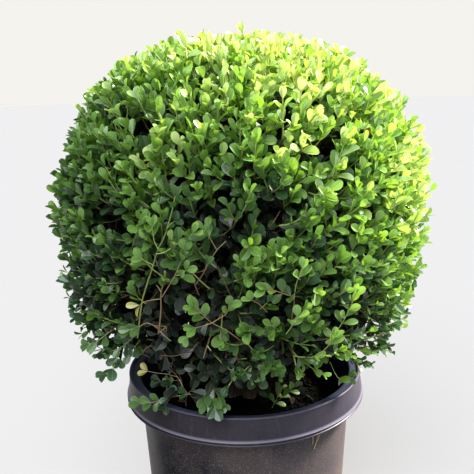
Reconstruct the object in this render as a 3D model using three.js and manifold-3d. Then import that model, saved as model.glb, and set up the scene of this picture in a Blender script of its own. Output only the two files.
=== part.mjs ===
// A box shrub clipped into a ball, growing in a round nursery pot.
// Lengths are in millimetres and +Z is up. The origin is the middle of the pot's flat underside.

import * as THREE from "three";
import { mergeVertices } from "three/addons/utils/BufferGeometryUtils.js";
import Module from "manifold-3d";

const wasm = await Module();
wasm.setup();

// The pot: a thin tapering wall under a wide band that steps outwards and starts with a small bead.
const POT_HEIGHT = 300;
const POT_SIDES = 48;
const RIM_RADIUS = 172.5;
const BAND_RADIUS = 175.5;
const BEAD_RADIUS = 178;
const BAND_HEIGHT = 36;
const BEAD_HEIGHT = 6;
const EDGE_ROUNDING = 1.2;
const WALL_TOP_RADIUS = 157;
const FOOT_RADIUS = 143;
const FOOT_ROUNDING = 9;
const FOOT_ARC_STEPS = 3;
const WALL_THICKNESS = 2.8;
const POT_FLOOR_THICKNESS = 4;
const DRAIN_HOLES = 6;
const DRAIN_HOLE_RADIUS = 8;
const DRAIN_HOLE_SIDES = 10;
const DRAIN_HOLE_LEVEL = 20;

// The soil fills the pot to this depth below its rim.
const SOIL_DEPTH_BELOW_RIM = 48;
const SOIL_SIDES = 48;
const SOIL_SIDE_CLEARANCE = 1;
const CLEARANCE = 0.3;

// The trunk stands on the soil, leans a little and ends in its leading bough.
const TRUNK_HEIGHT = 104;
const TRUNK_LEAN_X = 9;
const TRUNK_LEAN_Y = -6;
const TRUNK_RADIUS = 15.5;
const TRUNK_TIP_RADIUS = 9.5;
const TRUNK_SIDES = 15;
const TRUNK_STEPS = 8;
const FLARE_GROWTH = 12;
const FLARE_SHARE = 0.16;
const FLARE_LOBES = 5;
const FLARE_LOBE_DEPTH = 0.2;

// Side boughs leave the trunk one above the other, a golden angle apart.
const SIDE_BOUGHS = 7;
const FIRST_BOUGH_HEIGHT = 20;
const FIRST_BOUGH_AZIMUTH = 0.9;
const BOUGH_SPACING = 11;
const BOUGH_RADIUS = 7.2;
const BOUGH_TIP_RADIUS = 3.6;
const BOUGH_SIDES = 8;
const BOUGH_STEPS = 9;
const BOUGH_START_ELEVATION = 0.6;
const LOWEST_BOUGH_SHARE = 0.2;
const HIGHEST_BOUGH_SHARE = 0.8;
const LOWEST_BOUGH_END_ELEVATION = 0.4;
const HIGHEST_BOUGH_END_ELEVATION = 1.3;
const LEADER_SHARE = 0.985;
const LEADER_AZIMUTH = 2.2;
const STUB_LENGTH = 20;
const STUB_SIDES = 6;
const GOLDEN_ANGLE = Math.PI * (3 - Math.sqrt(5));
const THIRD_OF_TURN = (2 * Math.PI) / 3;

// The crown's clipped surface: two superellipse halves that meet at its widest level.
const CROWN_TOP = 786;
const CROWN_WIDEST_LEVEL = 528;
const CROWN_FOOT = 286;
const CROWN_RADIUS = 262;
const CROWN_FOOT_RADIUS = 120;
const CROWN_UPPER_POWER = 2.3;
const CROWN_LOWER_POWER = 2;
const CROWN_WAVES = [
  { around: 3, rise: 90, height: 0.011 },
  { around: 5, rise: -55, height: 0.007 },
];
const FOOT_RISE_SHARE = 0.25;
const FOOT_RADIUS_SHARE = 0.33;
const SLOPE_PROBE = 2;
const CROWN_TIP_ALLOWANCE = 4;

// The core is a thick dome inside the leaves, open underneath, where the bare boughs show.
const CORE_INSET = 34;
const CORE_THICKNESS = 24;
const CORE_FOOT = 308;
const CORE_SIDES = 20;
const CORE_LEVELS = 8;

// Sprays stand out of the core: a forked three-sided twig with opposite pairs of leaves.
const SPRAYS = 80;
const SPRAY_SEED = 20;
const SPRAY_ROOT_DEPTH = 9;
const SPRAY_ROOT_MARGIN = 7;
const SPRAY_TIP_INSET = 16;
const SPRAY_PULL_AT_FOOT = -0.7;
const SPRAY_PULL_AT_TOP = 0.4;
const SPRAY_PULL_RISE = 0.35;
const SPRAY_SCATTER = 0.3;
const SPRAY_LEAST_RISE = 0.6;
const SPRAY_FORK_SHARE = 0.7;
const SPRAY_FORK_ANGLE = 0.8;
const SIDE_TWIG_SHARE = 0.6;
const LOW_PAIR_SHARE = 0.55;
const TIP_PAIR_SETBACK = 5;
const ROLLS_TRIED = 6;
const LEAVES_IN_SPRAY = 6;
const TWIG_RADIUS = 2.9;
const TWIG_TIP_RADIUS = 2.5;
const SIDE_TWIG_RADIUS = 2.2;
const LEAF_LENGTH = 66;
const LEAF_LENGTH_VARIATION = 5;
const LEAF_TRIMS = [1, 0.9, 0.8, 0.7, 0.6];
const LEAF_WIDTH_SHARE = 0.72;
const LEAF_WIDEST_SHARE = 0.56;
const LEAF_HALF_THICKNESS = 1.1;
const LEAF_CUPPING = 2.4;
const LEAF_BASE_OFFSET = 0.3;
const TIP_PAIR_SPREAD = 1;
const LOW_PAIR_SPREAD = 1.25;
const POT_CLEARANCE = 2;
const AREA_SLICES = 400;
const MERGE_DISTANCE = 1e-4;

const SOIL_TOP = POT_HEIGHT - SOIL_DEPTH_BELOW_RIM;
const BAND_FOOT = POT_HEIGHT - BAND_HEIGHT;
const UP = new THREE.Vector3(0, 0, 1);

const potPlastic = new THREE.MeshStandardMaterial({ color: 0x38332f, roughness: 0.6, metalness: 0 });
const pottingSoil = new THREE.MeshStandardMaterial({ color: 0x2b1f16, roughness: 1, metalness: 0 });
const bark = new THREE.MeshStandardMaterial({ color: 0x8a7250, roughness: 0.9, metalness: 0 });
const foliage = new THREE.MeshStandardMaterial({ color: 0x4c8a2c, roughness: 0.5, metalness: 0 });

// A repeatable stream of numbers from 0 to 1.
function seeded(seed) {
  let state = seed >>> 0;
  return () => {
    state = (state + 0x6d2b79f5) >>> 0;
    let mixed = Math.imul(state ^ (state >>> 15), 1 | state);
    mixed = (mixed + Math.imul(mixed ^ (mixed >>> 7), 61 | mixed)) ^ mixed;
    return ((mixed ^ (mixed >>> 14)) >>> 0) / 2 ** 32;
  };
}

function solidOf(geometry) {
  const bare = geometry.clone();
  bare.deleteAttribute("normal");
  bare.deleteAttribute("uv");
  const merged = mergeVertices(bare, MERGE_DISTANCE);
  return new wasm.Manifold(
    new wasm.Mesh({
      numProp: 3,
      vertProperties: new Float32Array(merged.getAttribute("position").array),
      triVerts: new Uint32Array(merged.index.array),
    }),
  );
}

function geometryOf(solid) {
  const mesh = solid.getMesh();
  const geometry = new THREE.BufferGeometry();
  geometry.setAttribute("position", new THREE.BufferAttribute(mesh.vertProperties, 3));
  geometry.setIndex(new THREE.BufferAttribute(mesh.triVerts, 1));
  geometry.computeVertexNormals();
  return geometry;
}

function largestPiece(solid) {
  return solid.decompose().reduce((best, piece) => (piece.volume() > best.volume() ? piece : best));
}

function named(name, solid, material) {
  const mesh = new THREE.Mesh(geometryOf(solid), material);
  mesh.name = name;
  return mesh;
}

// A profile of [radius, height] points turned about the Z axis.
function turned(profile, sides) {
  const points = profile.map(([radius, height]) => new THREE.Vector2(radius, height));
  return solidOf(new THREE.LatheGeometry(points, sides).rotateX(Math.PI / 2));
}

// A closed solid from its corners and its faces, three corner numbers to a face.
function facetedSolid(corners, faces) {
  const geometry = new THREE.BufferGeometry().setFromPoints(corners);
  geometry.setIndex(faces);
  return solidOf(geometry);
}

// A closed limb along a curve. radiusAt takes the share of the length and the angle round the limb.
function limb(curve, radiusAt, sides, steps) {
  const geometry = new THREE.CylinderGeometry(1, 1, 1, sides, steps);
  const frames = curve.computeFrenetFrames(steps);
  const position = geometry.getAttribute("position");
  const point = new THREE.Vector3();
  for (let i = 0; i < position.count; i++) {
    point.fromBufferAttribute(position, i);
    const step = Math.round((point.y + 0.5) * steps);
    const radius = radiusAt(step / steps, Math.atan2(point.z, point.x));
    const { x, z } = point;
    point.copy(curve.getPointAt(step / steps));
    point.addScaledVector(frames.normals[step], x * radius);
    point.addScaledVector(frames.binormals[step], -z * radius);
    position.setXYZ(i, point.x, point.y, point.z);
  }
  return solidOf(geometry);
}

// The radius of the pot's outer wall below its band.
function wallRadius(height) {
  const share = (height - FOOT_ROUNDING) / (BAND_FOOT - FOOT_ROUNDING);
  return FOOT_RADIUS + (WALL_TOP_RADIUS - FOOT_RADIUS) * share;
}

function makePot() {
  const foot = new THREE.Vector2(FOOT_RADIUS - FOOT_ROUNDING, FOOT_ROUNDING);
  const footArc = Array.from({ length: FOOT_ARC_STEPS + 1 }, (_, step) => {
    const angle = (step / FOOT_ARC_STEPS) * (Math.PI / 2);
    return [foot.x + FOOT_ROUNDING * Math.sin(angle), foot.y - FOOT_ROUNDING * Math.cos(angle)];
  });
  const ledge = BAND_FOOT - WALL_THICKNESS;
  let pot = turned(
    [
      [0, 0],
      ...footArc,
      [wallRadius(ledge), ledge],
      [BEAD_RADIUS - EDGE_ROUNDING, ledge],
      [BEAD_RADIUS, ledge + EDGE_ROUNDING],
      [BEAD_RADIUS, BAND_FOOT + BEAD_HEIGHT - EDGE_ROUNDING],
      [BAND_RADIUS, BAND_FOOT + BEAD_HEIGHT],
      [RIM_RADIUS, POT_HEIGHT],
      [RIM_RADIUS - WALL_THICKNESS, POT_HEIGHT],
      [BAND_RADIUS - WALL_THICKNESS, BAND_FOOT],
      [wallRadius(BAND_FOOT) - WALL_THICKNESS, BAND_FOOT],
      [wallRadius(2 * FOOT_ROUNDING) - WALL_THICKNESS, 2 * FOOT_ROUNDING],
      [foot.x, POT_FLOOR_THICKNESS],
      [0, POT_FLOOR_THICKNESS],
    ],
    POT_SIDES,
  );
  for (let i = 0; i < DRAIN_HOLES; i++) {
    const hole = new THREE.CylinderGeometry(
      DRAIN_HOLE_RADIUS,
      DRAIN_HOLE_RADIUS,
      4 * WALL_THICKNESS,
      DRAIN_HOLE_SIDES,
    );
    hole.translate(0, wallRadius(DRAIN_HOLE_LEVEL) - WALL_THICKNESS / 2, DRAIN_HOLE_LEVEL);
    hole.rotateZ(((i + 0.5) / DRAIN_HOLES) * 2 * Math.PI);
    pot = pot.subtract(solidOf(hole));
  }
  return pot;
}

// The soil takes the pot's inner profile, a little smaller, up to its own level.
function makeSoil() {
  const inset = WALL_THICKNESS + SOIL_SIDE_CLEARANCE;
  const floor = POT_FLOOR_THICKNESS + CLEARANCE;
  return turned(
    [
      [0, floor],
      [FOOT_RADIUS - FOOT_ROUNDING - SOIL_SIDE_CLEARANCE, floor],
      [wallRadius(2 * FOOT_ROUNDING) - inset, 2 * FOOT_ROUNDING],
      [wallRadius(SOIL_TOP) - inset, SOIL_TOP],
      [0, SOIL_TOP],
    ],
    SOIL_SIDES,
  );
}

// The ring that the pot's band and wall take up, which no leaf may touch.
function makePotSpace() {
  const inner = wallRadius(SOIL_TOP) - WALL_THICKNESS - POT_CLEARANCE;
  const outer = BEAD_RADIUS + POT_CLEARANCE;
  const top = POT_HEIGHT + POT_CLEARANCE;
  return turned(
    [
      [inner, 0],
      [outer, 0],
      [outer, top],
      [inner, top],
      [inner, 0],
    ],
    POT_SIDES,
  );
}

const trunkCurve = new THREE.QuadraticBezierCurve3(
  new THREE.Vector3(0, 0, SOIL_TOP + CLEARANCE),
  new THREE.Vector3(0, 0, SOIL_TOP + TRUNK_HEIGHT / 2),
  new THREE.Vector3(TRUNK_LEAN_X, TRUNK_LEAN_Y, SOIL_TOP + TRUNK_HEIGHT),
);

// The trunk, grown on all sides by a clearance where it is the space that boughs are cut by.
function makeTrunk(growth) {
  const radiusAt = (along, angle) => {
    const flare = Math.exp(-along / FLARE_SHARE);
    const lobes = 1 + FLARE_LOBE_DEPTH * flare * Math.cos(FLARE_LOBES * angle);
    const taper = TRUNK_RADIUS + (TRUNK_TIP_RADIUS - TRUNK_RADIUS) * along;
    return (taper + FLARE_GROWTH * flare) * lobes + growth;
  };
  return limb(trunkCurve, radiusAt, TRUNK_SIDES, TRUNK_STEPS);
}

// The crown's radius at a height and azimuth, drawn in by an inset on every side.
function crownRadius(height, azimuth, inset) {
  const widest = CROWN_RADIUS - inset;
  const unevenness = CROWN_WAVES.reduce(
    (sum, wave) => sum + wave.height * Math.sin(wave.around * azimuth + height / wave.rise),
    1,
  );
  if (height >= CROWN_WIDEST_LEVEL) {
    const rise = CROWN_TOP - inset - CROWN_WIDEST_LEVEL;
    const share = Math.min(1, (height - CROWN_WIDEST_LEVEL) / rise);
    return widest * (1 - share ** CROWN_UPPER_POWER) ** (1 / CROWN_UPPER_POWER) * unevenness;
  }
  const footRadius = CROWN_FOOT_RADIUS - inset * FOOT_RADIUS_SHARE;
  const drop = CROWN_WIDEST_LEVEL - crownFoot(inset);
  const share = Math.min(1, (CROWN_WIDEST_LEVEL - height) / drop);
  const bulge = (1 - share ** CROWN_LOWER_POWER) ** (1 / CROWN_LOWER_POWER);
  return (footRadius + (widest - footRadius) * bulge) * unevenness;
}

// The level of the inset crown's foot, which rises less than its top comes down.
function crownFoot(inset) {
  return CROWN_FOOT + inset * FOOT_RISE_SHARE;
}

// A point of the inset crown, and the outward normal there. share 0 is the foot and 1 the top.
function crownPoint(share, azimuth, inset, lowest = 0) {
  const foot = crownFoot(inset);
  const top = CROWN_TOP - inset;
  const height = Math.max(lowest, foot + (top - foot) * share);
  const radius = crownRadius(height, azimuth, inset);
  const above = Math.min(top, height + SLOPE_PROBE);
  const below = Math.max(foot, height - SLOPE_PROBE);
  const slope = (crownRadius(above, azimuth, inset) - crownRadius(below, azimuth, inset)) / (above - below);
  return {
    point: new THREE.Vector3(radius * Math.cos(azimuth), radius * Math.sin(azimuth), height),
    normal: new THREE.Vector3(Math.cos(azimuth), Math.sin(azimuth), -slope).normalize(),
  };
}

// Shares of the crown's height that split its surface into equal areas, one for each spray.
function evenShares(count) {
  const areas = [0];
  for (let i = 0; i < AREA_SLICES; i++) {
    const low = crownPoint(i / AREA_SLICES, 0, 0).point;
    const high = crownPoint((i + 1) / AREA_SLICES, 0, 0).point;
    areas.push(areas[i] + ((low.x + high.x) / 2) * low.distanceTo(high));
  }
  return Array.from({ length: count }, (_, i) => {
    const wanted = ((i + 0.5) / count) * areas[AREA_SLICES];
    const slice = areas.findIndex((area) => area >= wanted) - 1;
    return (slice + (wanted - areas[slice]) / (areas[slice + 1] - areas[slice])) / AREA_SLICES;
  });
}

function directionOf(azimuth, elevation) {
  const level = Math.cos(elevation);
  return new THREE.Vector3(level * Math.cos(azimuth), level * Math.sin(azimuth), Math.sin(elevation));
}

// A curve that leaves its start and meets its end along the given unit directions.
function boughCurve(start, startHeading, end, endHeading) {
  const third = start.distanceTo(end) / 3;
  return new THREE.CubicBezierCurve3(
    start,
    start.clone().addScaledVector(startHeading, third),
    end.clone().addScaledVector(endHeading, -third),
    end,
  );
}

function taperedBough(curve, radius) {
  const radiusAt = (along) => THREE.MathUtils.lerp(radius, BOUGH_TIP_RADIUS, along);
  return limb(curve, radiusAt, BOUGH_SIDES, BOUGH_STEPS);
}

// Side boughs end short of the core, the lowest nearly level and the highest steep, under one leader.
function makeBoughs() {
  const innerInset = CORE_INSET + CORE_THICKNESS + STUB_LENGTH;
  const trunkSpace = makeTrunk(CLEARANCE);
  const boughs = [];
  for (let i = 0; i < SIDE_BOUGHS; i++) {
    const rank = i / (SIDE_BOUGHS - 1);
    const share = THREE.MathUtils.lerp(LOWEST_BOUGH_SHARE, HIGHEST_BOUGH_SHARE, rank);
    const elevation = THREE.MathUtils.lerp(
      LOWEST_BOUGH_END_ELEVATION,
      HIGHEST_BOUGH_END_ELEVATION,
      rank,
    );
    const azimuth = FIRST_BOUGH_AZIMUTH + i * GOLDEN_ANGLE;
    const curve = boughCurve(
      trunkCurve.getPointAt((FIRST_BOUGH_HEIGHT + i * BOUGH_SPACING) / TRUNK_HEIGHT),
      directionOf(azimuth, BOUGH_START_ELEVATION),
      crownPoint(share, azimuth, innerInset).point,
      directionOf(azimuth, elevation),
    );
    const solid = largestPiece(taperedBough(curve, BOUGH_RADIUS).subtract(trunkSpace));
    boughs.push({ name: "bough_" + (i + 1), curve, solid });
  }
  const heading = trunkCurve.getTangentAt(1);
  const curve = boughCurve(
    trunkCurve.getPointAt(1).addScaledVector(heading, CLEARANCE),
    heading,
    crownPoint(LEADER_SHARE, LEADER_AZIMUTH, innerInset).point,
    UP,
  );
  boughs.push({ name: "bough_leader", curve, solid: taperedBough(curve, TRUNK_TIP_RADIUS) });
  return boughs;
}

// A short stem of the crown that carries on from a bough's tip into the core.
function makeStub(curve) {
  const direction = curve.getTangentAt(1);
  const from = curve.getPointAt(1).addScaledVector(direction, CLEARANCE);
  const to = from.clone().addScaledVector(direction, STUB_LENGTH + CORE_THICKNESS / 2);
  return limb(new THREE.LineCurve3(from, to), () => BOUGH_TIP_RADIUS, STUB_SIDES, 1);
}

function makeCore() {
  const face = (inset) =>
    Array.from({ length: CORE_LEVELS + 1 }, (_, i) => {
      const rise = Math.sin((i / CORE_LEVELS) * (Math.PI / 2));
      const height = CORE_FOOT + (CROWN_TOP - inset - CORE_FOOT) * rise;
      return [i === CORE_LEVELS ? 0 : crownRadius(height, 0, inset), height];
    });
  const inside = face(CORE_INSET + CORE_THICKNESS).reverse();
  return turned([...inside, ...face(CORE_INSET)], CORE_SIDES);
}

// A leaf of eight faces: widest past its middle, hollow above, with its base inside the twig, by its axis.
function makeLeaf(base, direction, facing, length) {
  const across = new THREE.Vector3().crossVectors(direction, facing).normalize();
  const normal = new THREE.Vector3().crossVectors(across, direction).normalize();
  const half = (length * LEAF_WIDTH_SHARE) / 2;
  const widest = length * LEAF_WIDEST_SHARE;
  const corners = [
    [0, LEAF_BASE_OFFSET, 0],
    [half, widest, 0],
    [0, length, 0],
    [-half, widest, 0],
    [0, widest, LEAF_HALF_THICKNESS - LEAF_CUPPING],
    [0, widest, -LEAF_HALF_THICKNESS - LEAF_CUPPING],
  ].map(([side, along, lift]) =>
    base
      .clone()
      .addScaledVector(across, side)
      .addScaledVector(direction, along)
      .addScaledVector(normal, lift),
  );
  const faces = [0, 1, 2, 3].flatMap((i) => {
    const next = (i + 1) % 4;
    return [4, i, next, 5, next, i];
  });
  return { corners, solid: facetedSolid(corners, faces) };
}

// A three-sided twig. One of its long edges runs on the side that cornerSide points to.
function makeTwig(from, to, radius, tipRadius, cornerSide) {
  const axis = to.clone().sub(from).normalize();
  const corners = [0, 1, 2, 3, 4, 5].map((i) => {
    const arm = cornerSide.clone().setLength(i < 3 ? radius : tipRadius);
    return arm.applyAxisAngle(axis, (i % 3) * THIRD_OF_TURN).add(i < 3 ? from : to);
  });
  const walls = [0, 1, 2].flatMap((i) => {
    const next = (i + 1) % 3;
    return [i, next, next + 3, i, next + 3, i + 3];
  });
  return facetedSolid(corners, [2, 1, 0, 3, 4, 5, ...walls]);
}

// A unit direction turned from one unit vector towards another at right angles to it.
function towards(heading, aside, angle) {
  return heading.clone().multiplyScalar(Math.cos(angle)).addScaledVector(aside, Math.sin(angle));
}

function isInsideCrown(point) {
  const azimuth = Math.atan2(point.y, point.x);
  const reach = crownRadius(point.z, azimuth, 0) + CROWN_TIP_ALLOWANCE;
  return (
    point.z > CROWN_FOOT &&
    point.z < CROWN_TOP + CROWN_TIP_ALLOWANCE &&
    Math.hypot(point.x, point.y) < reach
  );
}

// Where a spray starts in the core, the way it grows and how far.
function sprayPlan(share, azimuth, random) {
  const rootInset = CORE_INSET + SPRAY_ROOT_DEPTH;
  const { point: root, normal } = crownPoint(share, azimuth, rootInset, CORE_FOOT + SPRAY_ROOT_MARGIN);
  const pull = THREE.MathUtils.lerp(
    SPRAY_PULL_AT_FOOT,
    SPRAY_PULL_AT_TOP,
    Math.min(1, share / SPRAY_PULL_RISE),
  );
  const scatter = () => (random() - 0.5) * 2 * SPRAY_SCATTER;
  const direction = normal
    .clone()
    .addScaledVector(UP, pull)
    .add(new THREE.Vector3(scatter(), scatter(), scatter()))
    .normalize();
  const reach = (rootInset - SPRAY_TIP_INSET) / Math.max(SPRAY_LEAST_RISE, direction.dot(normal));
  return { root, direction, reach };
}

// One roll of a spray: a main twig, a side twig, a pair of leaves on each tip and a low pair.
// A pair lies in line with a corner of its twig, and the side twig leaves through the middle of a wall.
function makeSpray({ root, direction, reach }, roll, lengths, isFree) {
  const apart = new THREE.Vector3().crossVectors(direction, UP).normalize();
  apart.applyAxisAngle(direction, roll);
  const lowApart = apart.clone().applyAxisAngle(direction, THIRD_OF_TURN);
  const forkSide = apart.clone().applyAxisAngle(direction, THIRD_OF_TURN / 2);
  const sideHeading = towards(direction, forkSide, SPRAY_FORK_ANGLE);
  const sideApart = new THREE.Vector3().crossVectors(direction, sideHeading).normalize();
  const along = (share) => root.clone().addScaledVector(direction, reach * share);
  const fork = along(SPRAY_FORK_SHARE);
  const sideTip = fork.clone().addScaledVector(sideHeading, reach * SIDE_TWIG_SHARE);
  const mainTwig = makeTwig(root, along(1), TWIG_RADIUS, TWIG_TIP_RADIUS, apart);
  const sideTwig = makeTwig(fork, sideTip, SIDE_TWIG_RADIUS, SIDE_TWIG_RADIUS, sideApart);
  if (!isFree(mainTwig) || !isFree(sideTwig)) return null;

  const twigs = mainTwig.add(sideTwig);
  const leaves = [];
  const isClear = (leaf) => leaf.corners.every(isInsideCrown) && isFree(leaf.solid);
  const addPair = (base, heading, pairApart, spread, pairLengths) => {
    for (const [side, length] of pairLengths.entries()) {
      const leafHeading = towards(heading, pairApart, side === 0 ? spread : -spread);
      for (const trim of LEAF_TRIMS) {
        const leaf = makeLeaf(base, leafHeading, heading, length * trim);
        if (isClear(leaf) && leaves.every((other) => other.intersect(leaf.solid).isEmpty())) {
          leaves.push(leaf.solid);
          break;
        }
      }
    }
  };
  const mainEnd = along(1).addScaledVector(direction, -TIP_PAIR_SETBACK);
  const sideEnd = sideTip.addScaledVector(sideHeading, -TIP_PAIR_SETBACK);
  addPair(mainEnd, direction, apart, TIP_PAIR_SPREAD, lengths.slice(0, 2));
  addPair(sideEnd, sideHeading, sideApart, TIP_PAIR_SPREAD, lengths.slice(2, 4));
  addPair(along(LOW_PAIR_SHARE), direction, lowApart, LOW_PAIR_SPREAD, lengths.slice(4, 6));
  return { solid: leaves.reduce((all, leaf) => all.add(leaf), twigs), leaves: leaves.length };
}

function makeCrown(boughs, trunk) {
  const random = seeded(SPRAY_SEED);
  const potSpace = makePotSpace();
  const limbs = boughs.reduce((all, bough) => all.add(bough.solid), trunk);
  let grown = null;
  const isFree = (solid) =>
    solid.intersect(potSpace).isEmpty() &&
    solid.intersect(limbs).isEmpty() &&
    (grown === null || solid.intersect(grown).isEmpty());
  for (const [i, share] of evenShares(SPRAYS).entries()) {
    const plan = sprayPlan(share, i * GOLDEN_ANGLE, random);
    const lengths = Array.from(
      { length: LEAVES_IN_SPRAY },
      () => LEAF_LENGTH + (random() - 0.5) * 2 * LEAF_LENGTH_VARIATION,
    );
    const firstRoll = random() * Math.PI;
    let fullest = null;
    for (let turn = 0; turn < ROLLS_TRIED; turn++) {
      const roll = firstRoll + (turn / ROLLS_TRIED) * 2 * Math.PI;
      const spray = makeSpray(plan, roll, lengths, isFree);
      if (spray && (!fullest || spray.leaves > fullest.leaves)) fullest = spray;
    }
    if (fullest) grown = grown ? grown.add(fullest.solid) : fullest.solid;
  }
  const core = boughs.reduce((all, bough) => all.add(makeStub(bough.curve)), makeCore());
  return largestPiece(core.add(grown));
}

const trunk = makeTrunk(0);
const boughs = makeBoughs();

const shrub = new THREE.Group();
shrub.add(named("pot", makePot(), potPlastic));
shrub.add(named("soil", makeSoil(), pottingSoil));
shrub.add(named("trunk", trunk, bark));
for (const bough of boughs) {
  shrub.add(named(bough.name, bough.solid, bark));
}
shrub.add(named("clipped_crown", makeCrown(boughs, trunk), foliage));

export default shrub;
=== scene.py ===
# A box shrub clipped into a ball, in its nursery pot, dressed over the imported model.
# Lengths are in millimetres, as in the part's source, until the meshes are made in metres.

import math

import bpy
import numpy as np
from mathutils import Matrix, Vector


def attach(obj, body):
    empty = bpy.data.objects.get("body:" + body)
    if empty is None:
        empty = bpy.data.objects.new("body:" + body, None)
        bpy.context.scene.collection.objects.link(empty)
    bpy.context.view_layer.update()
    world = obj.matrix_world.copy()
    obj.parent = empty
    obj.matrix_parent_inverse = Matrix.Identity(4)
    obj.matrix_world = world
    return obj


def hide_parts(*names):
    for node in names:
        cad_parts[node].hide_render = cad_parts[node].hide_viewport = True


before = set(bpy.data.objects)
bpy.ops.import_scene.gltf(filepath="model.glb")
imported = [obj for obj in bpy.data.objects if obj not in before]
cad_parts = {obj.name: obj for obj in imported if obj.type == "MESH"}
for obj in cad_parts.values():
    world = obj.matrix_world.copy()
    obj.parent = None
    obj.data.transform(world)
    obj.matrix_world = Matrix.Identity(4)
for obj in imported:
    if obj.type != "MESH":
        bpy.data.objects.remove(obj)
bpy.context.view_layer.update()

METRES = 0.001
BODY = "root"

# The seeds of what grows or lies by chance. The leaves of a piece have theirs under its name.
SEEDS = {
    "crown": 7, "sprays": 11, "clumps": 5, "furrows": 21, "swellings": 22,
    "soil_waves": 31, "soil_lumps": 32, "soil_crumbs": 33, "chips": 41, "fallen": 51,
    "leaves": 3, "old_leaves": 4, "inner_leaves": 5, "shown_leaves": 6, "rim_leaves": 7, "fallen_leaves": 8,
}

# A ripple is the mean of this many sine waves. Their wavelengths differ within this range.
RIPPLE_WAVES = 8
RIPPLE_RANGE = (0.6, 1.6)
RIPPLE_GAIN = 1.7

# The camera that the photograph was taken with, fitted to the pot's rim, and how far it looks for the plant.
PHOTO_SIDE = 474
FOCAL_PIXELS = 696.3
SENSOR_WIDTH = 36
CAMERA_PLACE = np.array([-6.9, -982.0, 741.8])
CAMERA_PITCH = math.radians(14.01)
CAMERA_ROLL = math.radians(-1.33)
VIEW_SPAN = (500, 1300)
FACING_MARGIN = 60

# The pot, with the source's sizes.
POT_HEIGHT = 300
RIM_RADIUS = 172.5
BAND_RADIUS = 175.5
BEAD_RADIUS = 178
BAND_HEIGHT = 36
BEAD_HEIGHT = 6
WALL_TOP_RADIUS = 157
FOOT_RADIUS = 143
FOOT_ROUNDING = 9
WALL_THICKNESS = 2.8
POT_FLOOR_THICKNESS = 4
DRAIN_HOLES = 6
DRAIN_HOLE_RADIUS = 8
DRAIN_HOLE_LEVEL = 20
SOIL_TOP = 252
BAND_FOOT = POT_HEIGHT - BAND_HEIGHT
SHELF_LEVEL = POT_HEIGHT - 3
CLEARANCE = 0.3

# The trim of the pot's profile. Offsets are (outwards, upwards) from the ledge under the band, from the
# bead's foot and from its top.
LEDGE_LEVEL = BAND_FOOT - WALL_THICKNESS
LEDGE_OFFSETS = ((0.3, -1.4), (1.6, 0))
BEAD_ROUNDING = 0.7
BEAD_OFFSETS = ((-1.6, 2.2), (-1.4, 3.4), (-0.2, 4.4), (0, 5.2))
BEAD_TOP_OFFSETS = ((0.2, -0.9), (0, 0.4))
LIP_ROUNDING = 1.7
LIP_CENTRE_OFFSETS = (-0.7, 0.9)
SHELF_STEPS = (1.6, 5, 8)
SHELF_FALL = 0.05
SHELF_ROUNDING = 3.4
SHELF_CENTRE_OFFSET = (0.6, -4)
LEDGE_EDGE = 1.2
BAND_EASE = 2
UNDERSIDE_RADII = (0, 60, 110)
WALL_LEVELS = np.linspace(20, LEDGE_LEVEL - 4, 14)
INNER_LEVELS = (SHELF_LEVEL - 12, SOIL_TOP, 200, 140, 80, 40, 2 * FOOT_ROUNDING)
SMOOTH_BELOW = math.radians(40)
# How the pot is out of round, as waves (share, number round it, phase).
POT_WAVES = ((0.0016, 2, 0.6), (0.0008, 5, 2))

# The trunk and its boughs, as in the source.
TRUNK_HEIGHT = 104
TRUNK_LEAN = (9, -6)
TRUNK_RADIUS = 15.5
TRUNK_TIP_RADIUS = 9.5
FLARE_GROWTH = 12
FLARE_SHARE = 0.16
FLARE_LOBES = 5
FLARE_LOBE_DEPTH = 0.2
SIDE_BOUGHS = 7
FIRST_BOUGH_HEIGHT = 20
FIRST_BOUGH_AZIMUTH = 0.9
BOUGH_SPACING = 11
BOUGH_RADIUS = 7.2
BOUGH_TIP_RADIUS = 3.6
BOUGH_START_ELEVATION = 0.6
BOUGH_SHARES = (0.2, 0.8)
BOUGH_END_ELEVATIONS = (0.4, 1.3)
BOUGH_END_INSET = 78
LEADER_SHARE = 0.985
LEADER_AZIMUTH = 2.2
GOLDEN_ANGLE = math.pi * (3 - math.sqrt(5))

# The bark's relief: its depth on the trunk and the boughs, and the share and width of the furrows, which
# are drawn out along the limb, and of the swellings.
TRUNK_RELIEF = 1.1
BOUGH_RELIEF = 0.6
FURROW_SHARE = 0.6
FURROW_WIDTH = 9
FURROW_STRETCH = (1, 1, 0.25)
SWELLING_SHARE = 0.4
SWELLING_WIDTH = 26

# The clipped surface of the crown, as in the source. Its waves are (number round it, rise, share).
CROWN_TOP = 786
CROWN_WIDEST_LEVEL = 528
CROWN_FOOT = 286
CROWN_RADIUS = 262
CROWN_FOOT_RADIUS = 120
CROWN_UPPER_POWER = 2.3
CROWN_LOWER_POWER = 2
CROWN_WAVES = ((3, 90, 0.011), (5, -55, 0.007))
FOOT_RISE_SHARE = 0.25
FOOT_RADIUS_SHARE = 0.33
SLOPE_PROBE = 2
AREA_SLICES = 400
CROWN_TIP_ALLOWANCE = 14
LOWEST_TIP = 302

# The hem of the foliage over the rim: its level, waves as (height, number, phase), and rises and dips as
# (height, azimuth, width). Inside the pot's mouth the foliage hangs lower.
HEM_LEVEL = 344
HEM_WAVES = ((10, 3, 0.6), (7, 7, 2.1))
HEM_RISES = ((-34, -1.83, 0.25), (8, -2.38, 0.22), (12, -1.1, 0.38), (14, -0.45, 0.25), (16, -1.38, 0.20))
MOUTH_HEM_LEVEL = 290
MOUTH_RADIUS = 135
MOUTH_EASE = 60

# How far leaves and twigs keep from the bead, the rim and the soil, and where the pot's inside begins.
BEAD_GAP = 2
RIM_GAP = 1.5
SOIL_GAP = 3
INSIDE_RADIUS = 150

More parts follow.
